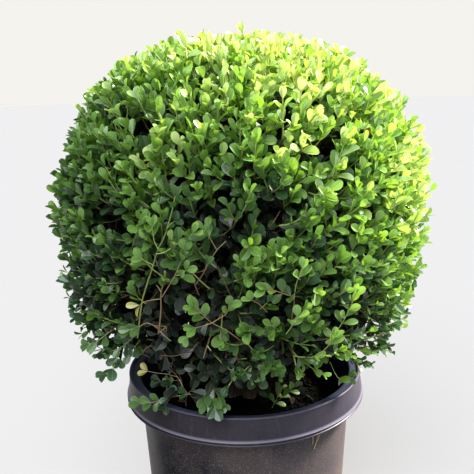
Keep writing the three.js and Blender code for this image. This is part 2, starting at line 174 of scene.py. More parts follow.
# The source's rule for a spray's direction: away from the surface, and pulled down at the foot and up above.
PULL_AT_FOOT = -0.7
PULL_AT_TOP = 0.4
PULL_RISE = 0.35
SCATTER = 0.3

# The orders of limbs between the boughs and the leafy shoots: how many, how deep their ends lie,
# how long they are, their radii, and the steps, sides and unevenness of their tubes.
LIMB_ORDERS = {
    "limbs": {"count": 52, "inset": (100, 120), "length": 105, "radii": (3.4, 2.3), "tube": (9, 8, 1.2)},
    "branches": {"count": 230, "inset": (66, 84), "length": 72, "radii": (2.2, 1.5), "tube": (8, 6, 0.9)},
    "twigs": {"count": 1500, "inset": (62, 130), "length": 70, "radii": (1.2, 0.6), "tube": (6, 4, 1.5)},
    "stems": {"count": 1000, "inset": (36, 56), "length": 58, "radii": (1.35, 1.0), "tube": (7, 5, 0.6)},
}
ORDER_TURN = 1.3
TWIG_SCATTER = 0.6

# A limb's forks lie at these shares of its length. A limb leaves its parent partly along it, and thinner,
# and a fork that it would leave at a sharp angle counts as farther off.
FORK_SHARES = np.linspace(0.35, 1, 6)
LEAVING_SHARE = 0.7
THINNER_SHARE = 0.9
TURN_COST = 0.4

# What makes a spray's tone: its level at the foot, and what height, sun, the front, clumps of sprays, chance
# and the shade at the foot add to it or take away. Height adds fresher growth at the top and partly painted
# light from above. The sun adds painted sunlight, with more chance where sunny. The front adds painted
# skylight, and the shade at the foot adds painted shade.
TONE_AT_FOOT = 1.75
TONE_FOOT_LEVEL = 330
HEIGHT_TONE = 2.3
HEIGHT_POWER = 0.8
PAINTED_SUN_TONE = 3.4
PAINTED_SKYLIGHT_TONE = 0.35
CLUMP_TONE = 0.65
CLUMP_WIDTH = 120
CHANCE_TONE = 0.55
SUNNY_CHANCE_TONE = 0.7
PAINTED_SHADE_TONE = 1.3
SHADED_BELOW = 430
SHADE_HEIGHT = 110
SHADE_SUN_SHARE = 1.6

# The young shoots of a stem, as (share of the stem, angle, turn round it in half circles, chance).
SHOOTS = ((1.0, 0.55, 0.0, 0.96), (1.0, -0.5, 0.0, 0.88), (0.72, 0.75, 0.5, 0.66), (0.5, -0.85, 0.5, 0.38))
SHOOT_RADII = (1.1, 0.65)
SHOOT_STEPS = 5
SHOOT_SIDES = 4
SHOOT_TIP_INSET = (3, 20)
SHOOT_REACH = (16, 62)
# Shoots rise, more so higher up, and turn outwards. A lower one has to reach farther.
SHOOT_ANGLE_RANGE = (0.6, 1.25)
SHOOT_LIFT = (-0.1, 0.95)
SHOOT_LIFT_RISE = 0.3
SHOOT_OUTWARD = 0.25
SHOOT_SCATTER = 0.1
SHOOT_TONE_SCATTER = 0.4
LOWER_SHOOT_INSET = 1.15
FLATTEST_SHOOT = 0.5
SHOOT_TEST_SHARES = (0.3, 0.6, 0.9, 1.0)
HEM_GAP = 8

# Pairs of leaves from a shoot's tip downwards, as (spread, size, change of tone), and pairs of older leaves
# on a stem, as (share of the stem, chance, change of tone). Lower leaves are darker, partly for their age
# and partly as painted shade deeper in the crown.
SHOOT_PAIRS = (
    (0.40, 0.74, 0.85),
    (0.60, 0.95, 0.5),
    (0.72, 1.05, -0.1),
    (0.82, 1.05, -1.0),
    (0.92, 1.0, -1.9),
    (1.0, 0.95, -2.6),
)
STEM_PAIRS = ((0.9, 0.6, -1.4), (0.74, 0.55, -2.4), (0.58, 0.5, -3.2), (0.42, 0.45, -3.8))
STEM_PAIR_SPREAD = 1.15
STEM_TONE_SCATTER = 0.5
TURNED_SHARE = 0.02

# The pair at a shoot's tip and the next one below it, how evenly the others follow, and the lowest.
TIP_PAIR_SHARE = 0.985
TIP_GAP = 3
INTERNODE = 12
INTERNODE_RANGE = (0.85, 1.15)
LOWEST_PAIR_SHARE = 0.12

# How unlike each other the leaves of a pair are, and how far they stand off their stem. They face along
# it and a little up and away from the middle of the crown.
SPREAD_SCATTER = 0.14
LEAN_SCATTER = 0.08
FACING_SCATTER = 0.22
LENGTH_RANGE = (0.88, 1.1)
STALK_LENGTH = 0.6
FACING_OUTWARD = 0.22
CROWN_MIDDLE = CROWN_WIDEST_LEVEL - 60

# Leaves stay smaller near the pot, as (share at its foot, share above), from this level over this height.
VIGOUR = (0.80, 1.03)
VIGOUR_LEVEL = 340
VIGOUR_HEIGHT = 260

# Pairs of leaves inside the crown, on each limb of an order, dark as painted shade.
INNER_PAIRS = {"branches": 10, "limbs": 8, "twigs": 2}
INNER_PAIR_SPREAD = 1.1
INNER_PAIR_SHARES = (0.98, 0.35)

# Hollows between the sprays, as (x, y, radius, share of stems lost), in the photograph's pixels.
HOLLOWS = (
    (121, 228, 14, 0.95), (142, 134, 12, 0.85), (326, 150, 15, 0.98), (178, 303, 22, 0.95),
    (207, 280, 15, 0.92), (229, 300, 13, 0.9), (150, 290, 13, 0.9), (128, 310, 12, 0.7),
    (152, 345, 13, 0.6), (200, 350, 22, 0.85), (232, 345, 16, 0.8), (183, 225, 11, 0.85),
    (225, 255, 11, 0.8), (264, 212, 11, 0.8), (215, 205, 11, 0.7), (300, 232, 9, 0.6),
    (282, 312, 14, 0.8), (345, 320, 13, 0.7), (320, 265, 11, 0.7), (180, 170, 9, 0.5),
    (96, 262, 10, 0.7), (95, 160, 9, 0.6), (375, 215, 10, 0.6), (300, 350, 18, 0.6),
    (185, 370, 15, 0.9), (127, 132, 9, 0.8), (176, 130, 9, 0.5), (230, 165, 9, 0.75),
    (345, 245, 8, 0.6), (160, 165, 8, 0.45), (318, 180, 8, 0.6), (292, 116, 9, 0.75),
    (268, 142, 9, 0.7), (347, 186, 9, 0.7), (210, 125, 8, 0.6),
)
HOLLOW_DEPTH = 85
# A hollow's width in radii at the surface, how much narrower it ends, and its soft edge.
HOLLOW_WIDTH = 1.15
HOLLOW_NARROWING = 0.5
HOLLOW_EDGE = 1.25
HOLLOW_STEEPNESS = 3

# Swellings and dips of the outline, as (x, y, radius, rise), in the same pixels.
SWELLINGS = (
    (184, 33, 10, 16), (152, 44, 10, -10), (130, 52, 12, 4), (103, 68, 12, 9), (75, 127, 10, -6),
    (49, 193, 7, 8), (52, 236, 8, 9), (55, 258, 10, -4), (68, 282, 10, -26), (67, 311, 10, 11),
    (88, 337, 9, -13), (100, 365, 8, 10), (305, 36, 10, 6), (405, 109, 9, -5), (418, 125, 10, 8),
    (431, 160, 12, 14), (436, 185, 12, 8), (432, 210, 9, 12), (425, 238, 9, -5), (412, 278, 12, -21),
    (414, 302, 9, -6), (394, 334, 14, -16), (375, 361, 14, -22),
)

# Patches of painted light and painted shade in the sprays' tones, as (x, y, radius, change of tone), in the
# same pixels.
PAINTED_LIGHT_PATCHES = (
    (155, 85, 40, 0.5), (170, 175, 38, 1.2), (100, 180, 32, -0.9), (235, 150, 45, 0.4),
    (370, 105, 45, -1.7), (300, 65, 40, -0.3), (385, 215, 35, -0.5), (422, 200, 26, 1.4),
    (418, 150, 20, 0.8), (385, 300, 45, -1.2), (85, 300, 45, -0.5), (105, 275, 40, -1.0),
    (300, 262, 38, -0.7), (310, 345, 40, 0.6), (205, 345, 40, -0.8),
)

# The sunlight, whose direction also sets the painted sunlight in the sprays' tones, the light of the open
# sky, the even light all round, and the backdrop that the camera sees. A light's width is in degrees.
SUN_DIRECTION = (0.82, 0.32, 0.72)
SUN_LIGHT = {"spread": 12, "strength": 12.0, "colour": (1.0, 0.94, 0.86)}
SKY_DIRECTION = (-0.16, -0.72, 0.95)
SKY_LIGHT = {"spread": 50, "strength": 3.4, "colour": (0.94, 0.97, 1.0)}
AIR_COLOUR = (0.70, 0.82, 1.0, 1)
AIR_STRENGTH = 0.33
BACKDROP_COLOUR = (0.80, 0.79, 0.76, 1)
BACKDROP_STRENGTH = 0.95

# Leaves. Each tone has its own tile of the leaf map, with this many tiles a side.
LEAF_MAP = "OFBake"
LEAF_TILES = 4
LEAF_LENGTH = (17, 22.5)
LEAF_WIDTH_SHARE = (0.47, 0.61)
LEAF_CUP = (0.03, 0.24)
LEAF_CURL = (-0.06, 0.20)
CUP_POWER = 1.2
# Leaves older than this tone are broader for each tone, up to a limit.
BROADER_BELOW = 3.5
BROADER_BY = 0.045
BROADER_AT_MOST = 0.14
# A leaf is left out unless this share of it is above the hem.
SHARE_ABOVE_HEM = 0.5
MOST_LEAVES_IN_PIECE = 9000

# Half of a leaf's outline from its stalk to its notched tip, as (share of half its width, share of its
# length), and the shares of its length where the midrib has a point.
HALF_OUTLINE = (
    (0.08, 0.05), (0.44, 0.20), (0.83, 0.40), (1.0, 0.60), (0.94, 0.78), (0.66, 0.92), (0.22, 0.99),
)
MIDRIB = (0.0, 0.30, 0.55, 0.80, 0.965)
# Where a leaf lies in its tile of the map: half its width, its stalk and its length.
TILE_HALF_WIDTH = 0.47
TILE_FOOT = 0.02
TILE_LENGTH = 0.96

# The leaves' tones from darkest to freshest, and turned ones, as (colour, pale rim, light passed through).
# The deep and shade tones are darker than old leaves are, as painted shade inside the crown and low down,
# and the pale tone serves partly as painted highlight on sunlit sprays.
TONES = {
    "leaf_deep": ((0.013, 0.023, 0.013), (0.11, 0.14, 0.10), (0.01, 0.03, 0.005)),
    "leaf_shade": ((0.028, 0.052, 0.024), (0.15, 0.20, 0.13), (0.03, 0.08, 0.01)),
    "leaf_blue": ((0.058, 0.124, 0.052), (0.19, 0.32, 0.18), (0.08, 0.20, 0.03)),
    "leaf_old": ((0.110, 0.205, 0.064), (0.26, 0.41, 0.17), (0.17, 0.34, 0.03)),
    "leaf_mid": ((0.185, 0.330, 0.085), (0.36, 0.54, 0.20), (0.29, 0.50, 0.03)),
    "leaf_fresh": ((0.26, 0.44, 0.12), (0.43, 0.63, 0.25), (0.40, 0.64, 0.05)),
    "leaf_light": ((0.41, 0.575, 0.20), (0.57, 0.72, 0.33), (0.57, 0.76, 0.10)),
    "leaf_lime": ((0.59, 0.715, 0.30), (0.71, 0.80, 0.43), (0.70, 0.83, 0.18)),
    "leaf_pale": ((0.77, 0.83, 0.40), (0.82, 0.87, 0.54), (0.84, 0.9, 0.22)),
    "leaf_yellow": ((0.42, 0.40, 0.08), (0.52, 0.50, 0.16), (0.55, 0.50, 0.06)),
    "leaf_dry": ((0.13, 0.080, 0.040), (0.20, 0.14, 0.08), (0.14, 0.09, 0.03)),
}
DEEP, SHADE, BLUE, OLD, MID, FRESH, LIGHT, LIME, PALE, YELLOW, DRY = range(len(TONES))

# Twigs that show in the photograph: bark, tone, radius in mm, share without leaves, insets of base and tip,
# and spots from base to tip in its pixels.
SHOWN_TWIGS = {
    "top_tuft": ("green", LIGHT, 1.0, 0.0, 16, -6, ((187, 58), (186, 48), (184, 38))),
    "long_stem": (
        "green", OLD, 1.7, 0.93, 45, 10,
        (
            (138, 333), (142, 302), (148, 281), (153, 266), (158, 249),
            (164, 238), (169, 222), (173, 207), (175, 196),
        ),
    ),
    "long_stem_left_pair": ("green", MID, 0.8, 0.3, 9, 1, ((153, 265), (147, 262), (142, 259))),
    "long_stem_left_arm": ("green", FRESH, 0.9, 0.3, 9, 3, ((158, 249), (154, 240), (152, 226))),
    "long_stem_right_arm": (
        "green", MID, 0.9, 0.25, 9, -2, ((156, 254), (165, 252), (177, 244), (186, 241), (193, 233)),
    ),
    "long_stem_dark_pair": ("green", BLUE, 0.8, 0.5, 14, 8, ((167, 228), (172, 223), (175, 221))),
    "left_hollow_spray": ("green", MID, 0.9, 0.45, 30, 2, ((133, 245), (137, 232), (140, 219))),
    "forked_twig": (
        "tan", MID, 1.5, 1.0, 40, 12, ((159, 330), (160, 321), (161, 308), (161, 293), (163, 285)),
    ),
    "forked_twig_left": ("tan", MID, 1.1, 1.0, 14, 10, ((161, 292), (158, 287), (156, 285))),
    "pale_link": ("tan", YELLOW, 0.8, 0.8, 16, 8, ((160, 299), (152, 300), (144, 302), (139, 306))),
    "thin_riser": (
        "tan", MID, 0.8, 0.75, 14, 2, ((162, 297), (170, 284), (175, 275), (182, 259), (185, 250)),
    ),
    "thin_riser_pair": ("green", MID, 0.7, 0.2, 9, 2, ((175, 275), (181, 275), (186, 270))),
    "low_left_arm": ("tan", OLD, 1.2, 0.8, 40, 14, ((159, 328), (147, 323), (139, 327), (130, 330))),
    "low_right_arm": ("tan", MID, 1.1, 1.0, 40, 30, ((159, 330), (165, 336), (171, 341))),
    "orange_stub": ("orange", MID, 1.2, 1.0, 26, 14, ((197, 290), (195, 285), (192, 271))),
    "orange_stub_right": ("orange", OLD, 0.9, 0.6, 20, 10, ((195, 285), (203, 274), (207, 264))),
    "middle_fork": (
        "tan", MID, 1.2, 0.8, 40, 4, ((241, 341), (226, 330), (212, 323), (201, 313), (193, 308)),
    ),
    "middle_fork_left": ("tan", MID, 0.9, 0.5, 18, 2, ((212, 323), (203, 326), (194, 329), (187, 337))),
    "middle_fork_top": ("tan", MID, 0.9, 0.5, 18, 2, ((212, 323), (220, 318), (226, 314), (230, 305))),
    "upper_fork": ("tan", MID, 1.1, 1.0, 26, 10, ((207, 266), (210, 261), (217, 250), (226, 241))),
    "upper_fork_left": ("tan", MID, 0.9, 0.5, 16, 2, ((217, 250), (211, 240), (205, 228))),
    "brown_riser": ("brown", MID, 1.3, 1.0, 26, 14, ((228, 290), (222, 276), (218, 266))),
    "right_stub": (
        "orange", MID, 1.2, 0.7, 26, 8, ((292, 315), (294, 299), (284, 294), (273, 290), (266, 289)),
    ),
    "right_stub_foot": ("green", FRESH, 0.8, 0.1, 12, 2, ((286, 334), (292, 326), (298, 317))),
    "right_riser": ("green", FRESH, 0.9, 0.5, 18, 4, ((294, 299), (296, 285), (299, 277), (303, 268))),
    "centre_link": ("tan", FRESH, 0.9, 0.6, 20, 4, ((267, 312), (259, 304), (251, 300))),
    "low_right_riser": ("green", FRESH, 1.1, 0.6, 26, 4, ((336, 332), (344, 320), (351, 305), (356, 294))),
    "low_right_foot": ("green", MID, 0.8, 0.1, 10, 2, ((322, 352), (329, 345), (335, 337))),
    "brown_upper": ("brown", MID, 1.2, 1.0, 24, 12, ((271, 226), (276, 218), (280, 211))),
    "reddish_low": ("brown", MID, 1.0, 1.0, 34, 26, ((186, 353), (174, 356), (161, 355))),
}
# Shown twigs whose base lies at least this deep are led on to a fork inside the crown: back by a depth,
# down the twig, and on to a fork that lies deeper than the base.
ROOTED_INSET = 24
ROOT_DEPTH = 26
ROOT_RUN = 10
ROOT_REACH = 12
ROOT_FORK_GAP = 6
# How these twigs taper and their pairs of leaves from the tip downwards, as (spread, size, tone lost).
SHOWN_TAPER = (0.7, 0.45)
SHOWN_STEPS = 20
SHOWN_SIDES = 6
SHOWN_PAIRS = ((0.42, 0.78, 0), (0.7, 0.92, 0), (0.85, 0.92, 0.4), (0.95, 0.92, 0.8))
SHOWN_TIP_GAP = 1.5
SHOWN_PAIR_TURN = 1.1
SHOWN_INTERNODE_RANGE = (0.9, 1.2)
SHOWN_TONE_SCATTER = 0.3
SHOWN_FACING_ALONG = 0.5
SHOWN_FACING_UP = 0.4
# What the other leaves keep clear around a shown twig, in pixels.
LEAF_CLEARANCE = 5

# Sprays over the rim: bark, tone, radius, share without leaves, and spots as pixels with a height.
SPRAY_FORK = (172, 397, 314)
SPRAY_FOOT = (188, 393, 322)
SEEDLING_FORK = (275, 402, 262)
RIM_SPRAYS = {
    "left_over_rim": (
        "tan", OLD, 0.9, 0.4,
        ((189, 394, 322), SPRAY_FORK, (163, 399, 311), (150, 403, 309), (140, 403, 311)),
    ),
    "left_over_rim_bright": ("green", MID, 0.8, 0.3, (SPRAY_FORK, (167, 393, 316), (167, 386, 324))),
    "low_riser": (
        "tan", MID, 1.1, 0.85,
        (
            (187, 393, 322), (183, 387, 327), (179, 379, 334), (171, 370, 343),
            (157, 363, 350), (149, 357, 356), (143, 354, 359),
        ),
    ),
    "yellow_low": (
        "tan", YELLOW, 0.9, 0.9, ((178, 377, 336), (166, 374, 339), (157, 373, 340), (147, 371, 342)),
    ),
    "shade_under": ("brown", BLUE, 0.8, 0.2, (SPRAY_FOOT, (186, 399, 316), (186, 406, 309))),
    "shade_left": ("brown", SHADE, 0.8, 0.2, (SPRAY_FORK, (168, 401, 311), (165, 406, 308))),
    "shade_middle": ("brown", SHADE, 0.8, 0.3, ((180, 380, 333), (171, 381, 331), (160, 381, 330))),
    "shade_upper": (
        "brown", SHADE, 0.8, 0.2, ((183, 387, 327), (180, 377, 336), (174, 366, 346), (170, 358, 352)),
    ),
    "shade_right": (
        "brown", SHADE, 0.8, 0.1, (SPRAY_FOOT, (194, 389, 328), (199, 383, 333), (203, 377, 338)),
    ),
    "shade_lower": ("brown", DEEP, 0.8, 0.1, (SPRAY_FOOT, (193, 398, 314), (198, 404, 306))),
    "shade_inner": (
        "brown", SHADE, 0.8, 0.1, ((183, 387, 327), (174, 388, 322), (166, 386, 320), (158, 382, 321)),
    ),
    "hanging": (
        "brown", BLUE, 0.9, 0.4,
        ((208, 362, 360), (211, 376, 348), (214, 389, 336), (215, 400, 326), (214, 408, 319)),
    ),
    "hanging_side": ("brown", OLD, 0.8, 0.2, ((213, 387, 338), (218, 396, 330), (222, 404, 322))),
    "hanging_left": ("brown", OLD, 0.8, 0.2, ((212, 384, 340), (207, 395, 330), (206, 404, 322))),
    "right_inside": (
        "green", OLD, 0.9, 0.3, ((330, 362, 345), (336, 375, 330), (341, 379, 325), (348, 378, 324)),
    ),
    "seedling": (
        "green", LIGHT, 0.6, 0.2, ((272, 408, 256), SEEDLING_FORK, (278, 396, 267), (281, 389, 273)),
    ),
    "seedling_side": ("green", MID, 0.6, 0.2, (SEEDLING_FORK, (283, 397, 266), (290, 391, 271))),
    "seedling_left": ("green", OLD, 0.6, 0.2, (SEEDLING_FORK, (269, 397, 267), (265, 391, 272))),
    "left_hem": (
        "green", BLUE, 0.9, 0.2, ((120, 352, 372), (116, 362, 360), (111, 371, 350), (106, 374, 346)),
    ),
    "left_hem_inner": (
        "green", BLUE, 0.9, 0.2, ((140, 340, 384), (134, 348, 375), (128, 355, 366), (121, 360, 361)),
    ),
    "left_hem_upper": (
        "green", OLD, 0.9, 0.2, ((134, 336, 390), (127, 343, 382), (120, 348, 375), (112, 351, 370)),
    ),
    "left_hem_far": (
        "green", OLD, 0.9, 0.2, ((112, 330, 400), (103, 337, 391), (96, 342, 384), (89, 344, 380)),
    ),
}
ROOTED_SPRAYS = ("left_over_rim", "hanging")

# Dry strands that hang from under the band, by their spots in the photograph.
STRANDS = {
    "long": ((318, 435), (316.5, 441), (314, 449)),
    "brown": ((312.5, 435), (313, 440), (312.6, 444)),
    "short": ((319.5, 434), (318.5, 438), (317.5, 441)),
}
STRAND_RADIUS = 0.55
STRAND_GAP = 1
STRAND_STEPS = 8
STRAND_SIDES = 5

# The soil's unevenness, as (depth, width), and what lies on it. The nearest of it to the trunk lies at a
# share of the soil's area.
SOIL_RIPPLES = {"soil_waves": (1.6, 60), "soil_lumps": (0.9, 17), "soil_crumbs": (0.5, 7)}
FALLEN_LEAVES = 70
FALLEN_LENGTH = (13, 19)
FALLEN_RISE = 4.0
FALLEN_WALL_GAP = 16
FALLEN_NEAREST = 0.1
FALLEN_TILT = 0.12
FALLEN_ROLL = 0.2
BARK_CHIPS = 1400
CHIP_SIZE = (1.5, 5.5)
CHIP_SHAPE = (1, 0.6, 0.35)
CHIP_SHAPE_RANGE = (0.6, 1.3)
CHIP_CORNER_RANGE = (0.6, 1.0)
CHIP_TILT = 0.35
CHIP_RISE = 0.6
CHIP_WALL_GAP = 7
CHIP_NEAREST = 0.02

# The leaf's midrib, its pale rim, which is partly a painted highlight along the edge, and its stalk end
# darkened as painted shade, as ramps over the leaf, and its skin.
RIB_RAMP = ((0.0, 1.0), (0.03, 0.25), (0.06, 0.0))
LEAF_RIM_AND_HIGHLIGHT_RAMP = ((0.0, 0.0), (0.35, 0.0), (0.44, 1.0))
STALK_SHADE_RAMP = ((0.05, 1.0), (0.75, 0.0))
PALE_SHARE = 0.55
STALK_PAINTED_SHADE = 0.62
LEAF_ROUGHNESS = 0.42
LEAF_SHEEN = 0.8
LEAF_COAT = (0.36, 0.06)
COAT_ROUGHNESS = 0.2
PASSED_THROUGH = 0.3

# The scale of the pot's clouds of dust, its grit and its scuffs, as waves in a metre, and their ramps.
# Painted light rises to the right and the front, as (slope, level in the middle), and adds dust and a
# painted bluish sheen there. Then the shares of each layer, and the ramps of the wall and the mouth, which
# are over shares of the pot's height.
CLOUD_SCALE = 7.0
GRIT_SCALE = 620.0
SCUFF_SCALE = 130.0
CLOUD_RAMP = ((0.40, 0.0), (0.60, 1.0))
SPECK_RAMP = ((0.58, 0.0), (0.65, 1.0))
PIT_RAMP = ((0.30, 1.0), (0.42, 0.0))
SCUFF_RAMP = ((0.56, 0.0), (0.72, 1.0))
GLOSS_RAMP = ((0.3, 0.30), (0.7, 0.44))
PAINTED_LIGHT_RIGHTWARD = (3.2, 0.35)
PAINTED_LIGHT_FRONTWARD = (-8.0, 1.0)
CLOUD_DUST = 0.5
DUST_AND_PAINTED_LIGHT_SHARE = 0.8
CLEAN_BELOW = 0.2
WALL_SPECKS = 0.42
BAND_SPECKS = 0.03
PIT_SHARE = 0.5
SCUFF_SHARE = 0.07
PAINTED_SHEEN_SHARE = 0.6
DUST_ROUGHNESS = 0.35
PLASTIC_SHEEN = 0.22
WALL_RAMP = ((0.0, 1.0), (0.866, 0.9), (0.872, 0.10))
MOUTH_RAMP = ((0.874, 0.0), (0.876, 1.0))

# The pot's colours, and the pale dust and painted highlights on the lower edge of its bead, on the bead and
# on the lip, as (share of its height, share of dust and highlight).
CLEAN_PLASTIC = (0.005, 0.0045, 0.006)
GREYED_PLASTIC = (0.024, 0.020, 0.026)
# A painted bluish sheen on the right and the front of the pot.
PAINTED_SHEEN_PLASTIC = (0.090, 0.086, 0.125)
# A painted bluish reflection on the inside of the mouth.
MOUTH_PAINTED_REFLECTION = (0.052, 0.060, 0.092)
BROWN_DUST = (0.135, 0.103, 0.084)
PALE_SPECKS = (0.36, 0.32, 0.27)
DARK_PITS = (0.012, 0.010, 0.010)
SCUFFED = (0.24, 0.22, 0.28)
SETTLED_DUST_AND_HIGHLIGHT = (0.27, 0.25, 0.31)
LEDGE_DUST_AND_HIGHLIGHTS = (
    (0.873, 0.0), (0.875, 0.06), (0.879, 0.0), (0.888, 0.0), (0.890, 0.60),
    (0.897, 0.30), (0.899, 0.0), (0.993, 0.0), (0.996, 0.22),
)

UP = np.array([0.0, 0.0, 1.0])
RIGHT = np.array([1.0, 0.0, 0.0])


# Arrays of points and directions.


def unit(vectors):
    return vectors / np.maximum(np.linalg.norm(vectors, axis=-1, keepdims=True), 1e-9)


def dots(a, b):
    return (a * b).sum(-1, keepdims=True)


def mixed(low, high, share):
    return low + (high - low) * share


def full_circle(sides):
    return np.linspace(0, 2 * math.pi, sides, endpoint=False)


def polar(points):
    """The distance of points from the upright axis, and their azimuth."""
    return np.hypot(points[..., 0], points[..., 1]), np.arctan2(points[..., 1], points[..., 0])


def round_points(radius, azimuth, height):
    """Points at a radius from the upright axis, an azimuth and a height."""
    radius, azimuth, height = np.broadcast_arrays(radius, azimuth, height)
    return np.stack([radius * np.cos(azimuth), radius * np.sin(azimuth), height], -1)


def square_to(vectors, axes):
    """The unit part of each vector that stands at right angles to its unit axis."""
    return unit(vectors - dots(vectors, axes) * axes)


def beside(headings, steepest=0.9):
    """A direction that no heading runs along: up, or to the right where the heading is steep."""
    return np.where(np.abs(headings[:, 2:3]) < steepest, UP, RIGHT)


def towards(headings, asides, angles):
    """Unit headings turned by angles towards asides at right angles to them."""
    return headings * np.cos(angles)[..., None] + asides * np.sin(angles)[..., None]


def turned_about(vectors, axes, angles):
    """Vectors at right angles to unit axes, turned about them."""
    return towards(vectors, np.cross(axes, vectors), angles)


def direction_of(azimuth, elevation):
    level = math.cos(elevation)
    return np.array([level * math.cos(azimuth), level * math.sin(azimuth), math.sin(elevation)])


def seeded(name):
    return np.random.default_rng(SEEDS[name])


def ripple(points, wavelength, name):
    """A smooth unevenness, mostly between -1 and 1, from sine waves in random directions."""
    random = seeded(name)
    directions = unit(random.normal(size=(RIPPLE_WAVES, 3)))
    directions *= 2 * math.pi / wavelength * random.uniform(*RIPPLE_RANGE, (RIPPLE_WAVES, 1))
    phases = random.uniform(0, 2 * math.pi, RIPPLE_WAVES)
    return np.sin(points @ directions.T + phases).mean(-1) * RIPPLE_GAIN


# The crown's surface.


def crown_foot(inset):
    return CROWN_FOOT + inset * FOOT_RISE_SHARE


def crown_radius(height, azimuth, inset):
    """The crown's radius at a height and azimuth, drawn in by an inset on every side."""
    height, azimuth, inset = np.broadcast_arrays(height, azimuth, inset)
    widest = CROWN_RADIUS - inset
    uneven = 1 + sum(size * np.sin(around * azimuth + height / rise) for around, rise, size in CROWN_WAVES)
    rise = CROWN_TOP - inset - CROWN_WIDEST_LEVEL
    up = np.clip((height - CROWN_WIDEST_LEVEL) / rise, 0, 1)
    upper = widest * (1 - up**CROWN_UPPER_POWER) ** (1 / CROWN_UPPER_POWER)
    foot_radius = CROWN_FOOT_RADIUS - inset * FOOT_RADIUS_SHARE
    down = np.clip((CROWN_WIDEST_LEVEL - height) / (CROWN_WIDEST_LEVEL - crown_foot(inset)), 0, 1)
    bulge = (1 - down**CROWN_LOWER_POWER) ** (1 / CROWN_LOWER_POWER)
    lower = foot_radius + (widest - foot_radius) * bulge
    return np.where(height >= CROWN_WIDEST_LEVEL, upper, lower) * uneven


def crown_points(share, azimuth, inset, lowest=0.0):
    """Points of the inset crown and the outward normals there. Share 0 is its foot and 1 its top."""
    share, azimuth, inset = np.broadcast_arrays(share, azimuth, inset)
    foot, top = crown_foot(inset), CROWN_TOP - inset
    height = np.maximum(lowest, foot + (top - foot) * share)
    above, below = np.minimum(top, height + SLOPE_PROBE), np.maximum(foot, height - SLOPE_PROBE)
    slope = (crown_radius(above, azimuth, inset) - crown_radius(below, azimuth, inset)) / (above - below)
    points = round_points(crown_radius(height, azimuth, inset), azimuth, height)
    return points, unit(np.stack([np.cos(azimuth), np.sin(azimuth), -slope], -1))


def even_shares(count):
    """Shares of the crown's height that split its surface into equal areas."""
    edges, _ = crown_points(np.linspace(0, 1, AREA_SLICES + 1), 0.0, 0.0)
    lengths = np.linalg.norm(np.diff(edges, axis=0), axis=1)
    areas = np.concatenate([[0], np.cumsum((edges[1:, 0] + edges[:-1, 0]) / 2 * lengths)])
    wanted = (np.arange(count) + 0.5) / count * areas[-1]
    return np.interp(wanted, areas, np.linspace(0, 1, AREA_SLICES + 1))


def depth_in_crown(points):
    """How far points lie inside the crown's surface, measured level."""
    radius, azimuth = polar(points)
    return crown_radius(points[..., 2], azimuth, 0) - radius


def inside_crown(points, allowance):
    return (points[..., 2] < CROWN_TOP + allowance) & (depth_in_crown(points) > -allowance)


def above_hem(points):
    """True where foliage may hang: above the hem over the rim, and lower inside the pot's mouth."""
    radius, azimuth = polar(points)
    hem = HEM_LEVEL
    for height, around, phase in HEM_WAVES:
        hem = hem + height * np.sin(around * azimuth + phase)
    for height, place, width in HEM_RISES:
        hem = hem + height * np.exp(-(((azimuth - place) / width) ** 2))
    inside = np.clip((MOUTH_RADIUS - radius) / MOUTH_EASE, 0, 1)
    return points[..., 2] > mixed(hem, MOUTH_HEM_LEVEL, inside)


def clear_of_pot(points):
    """True where a point is neither in the pot's wall and band nor in its soil."""
    radius, height = polar(points)[0], points[..., 2]
    in_wall = (radius > INSIDE_RADIUS) & (radius < BEAD_RADIUS + BEAD_GAP) & (height < POT_HEIGHT + RIM_GAP)
    in_soil = (radius <= INSIDE_RADIUS) & (height < SOIL_TOP + SOIL_GAP)
    return ~(in_wall | in_soil)


# The photograph's view.


def camera_axes():
    """The camera's right, up and forward directions."""
    up = np.array([0.0, math.sin(CAMERA_PITCH), math.cos(CAMERA_PITCH)])
    forward = np.array([0.0, math.cos(CAMERA_PITCH), -math.sin(CAMERA_PITCH)])
    turned_right = math.cos(CAMERA_ROLL) * RIGHT + math.sin(CAMERA_ROLL) * up
    turned_up = -math.sin(CAMERA_ROLL) * RIGHT + math.cos(CAMERA_ROLL) * up
    return turned_right, turned_up, forward


def to_photo(points):
    """Where points show in the photograph, in its pixels."""
    right, up, forward = camera_axes()
    offset = points - CAMERA_PLACE
    scale = FOCAL_PIXELS / (offset @ forward)
    middle = PHOTO_SIDE / 2
    return np.stack([middle + scale * (offset @ right), middle - scale * (offset @ up)], -1)


def pixels_from(points, x, y):
    """How far points show from a pixel of the photograph."""
    spots = to_photo(points)
    return np.hypot(spots[..., 0] - x, spots[..., 1] - y)


def hollow_share(points):
    """The share of growth that is missing at points. A hollow narrows inwards and ends in the thicket."""
    depth = np.clip(depth_in_crown(points) / HOLLOW_DEPTH, 0, 1)
    share = np.zeros(len(points))
    for x, y, radius, lost in HOLLOWS:
        gap = pixels_from(points, x, y) / (radius * (HOLLOW_WIDTH - HOLLOW_NARROWING * depth))
        share = np.maximum(share, lost * np.clip((HOLLOW_EDGE - gap) * HOLLOW_STEEPNESS, 0, 1))
    near_side = (points[:, 1] < 0) & (depth < 1)
    return np.where(near_side, share, 0)


def patch_sum(patches, points, normals):
    """The sum of soft patches (x, y, radius, height) at points on the side that faces the camera."""
    total = np.zeros(len(points))
    for x, y, radius, height in patches:
        total += height * np.exp(-((pixels_from(points, x, y) / radius) ** 2))
    facing = dots(CAMERA_PLACE - points, normals)[:, 0] > -FACING_MARGIN
    return np.where(facing, total, 0)


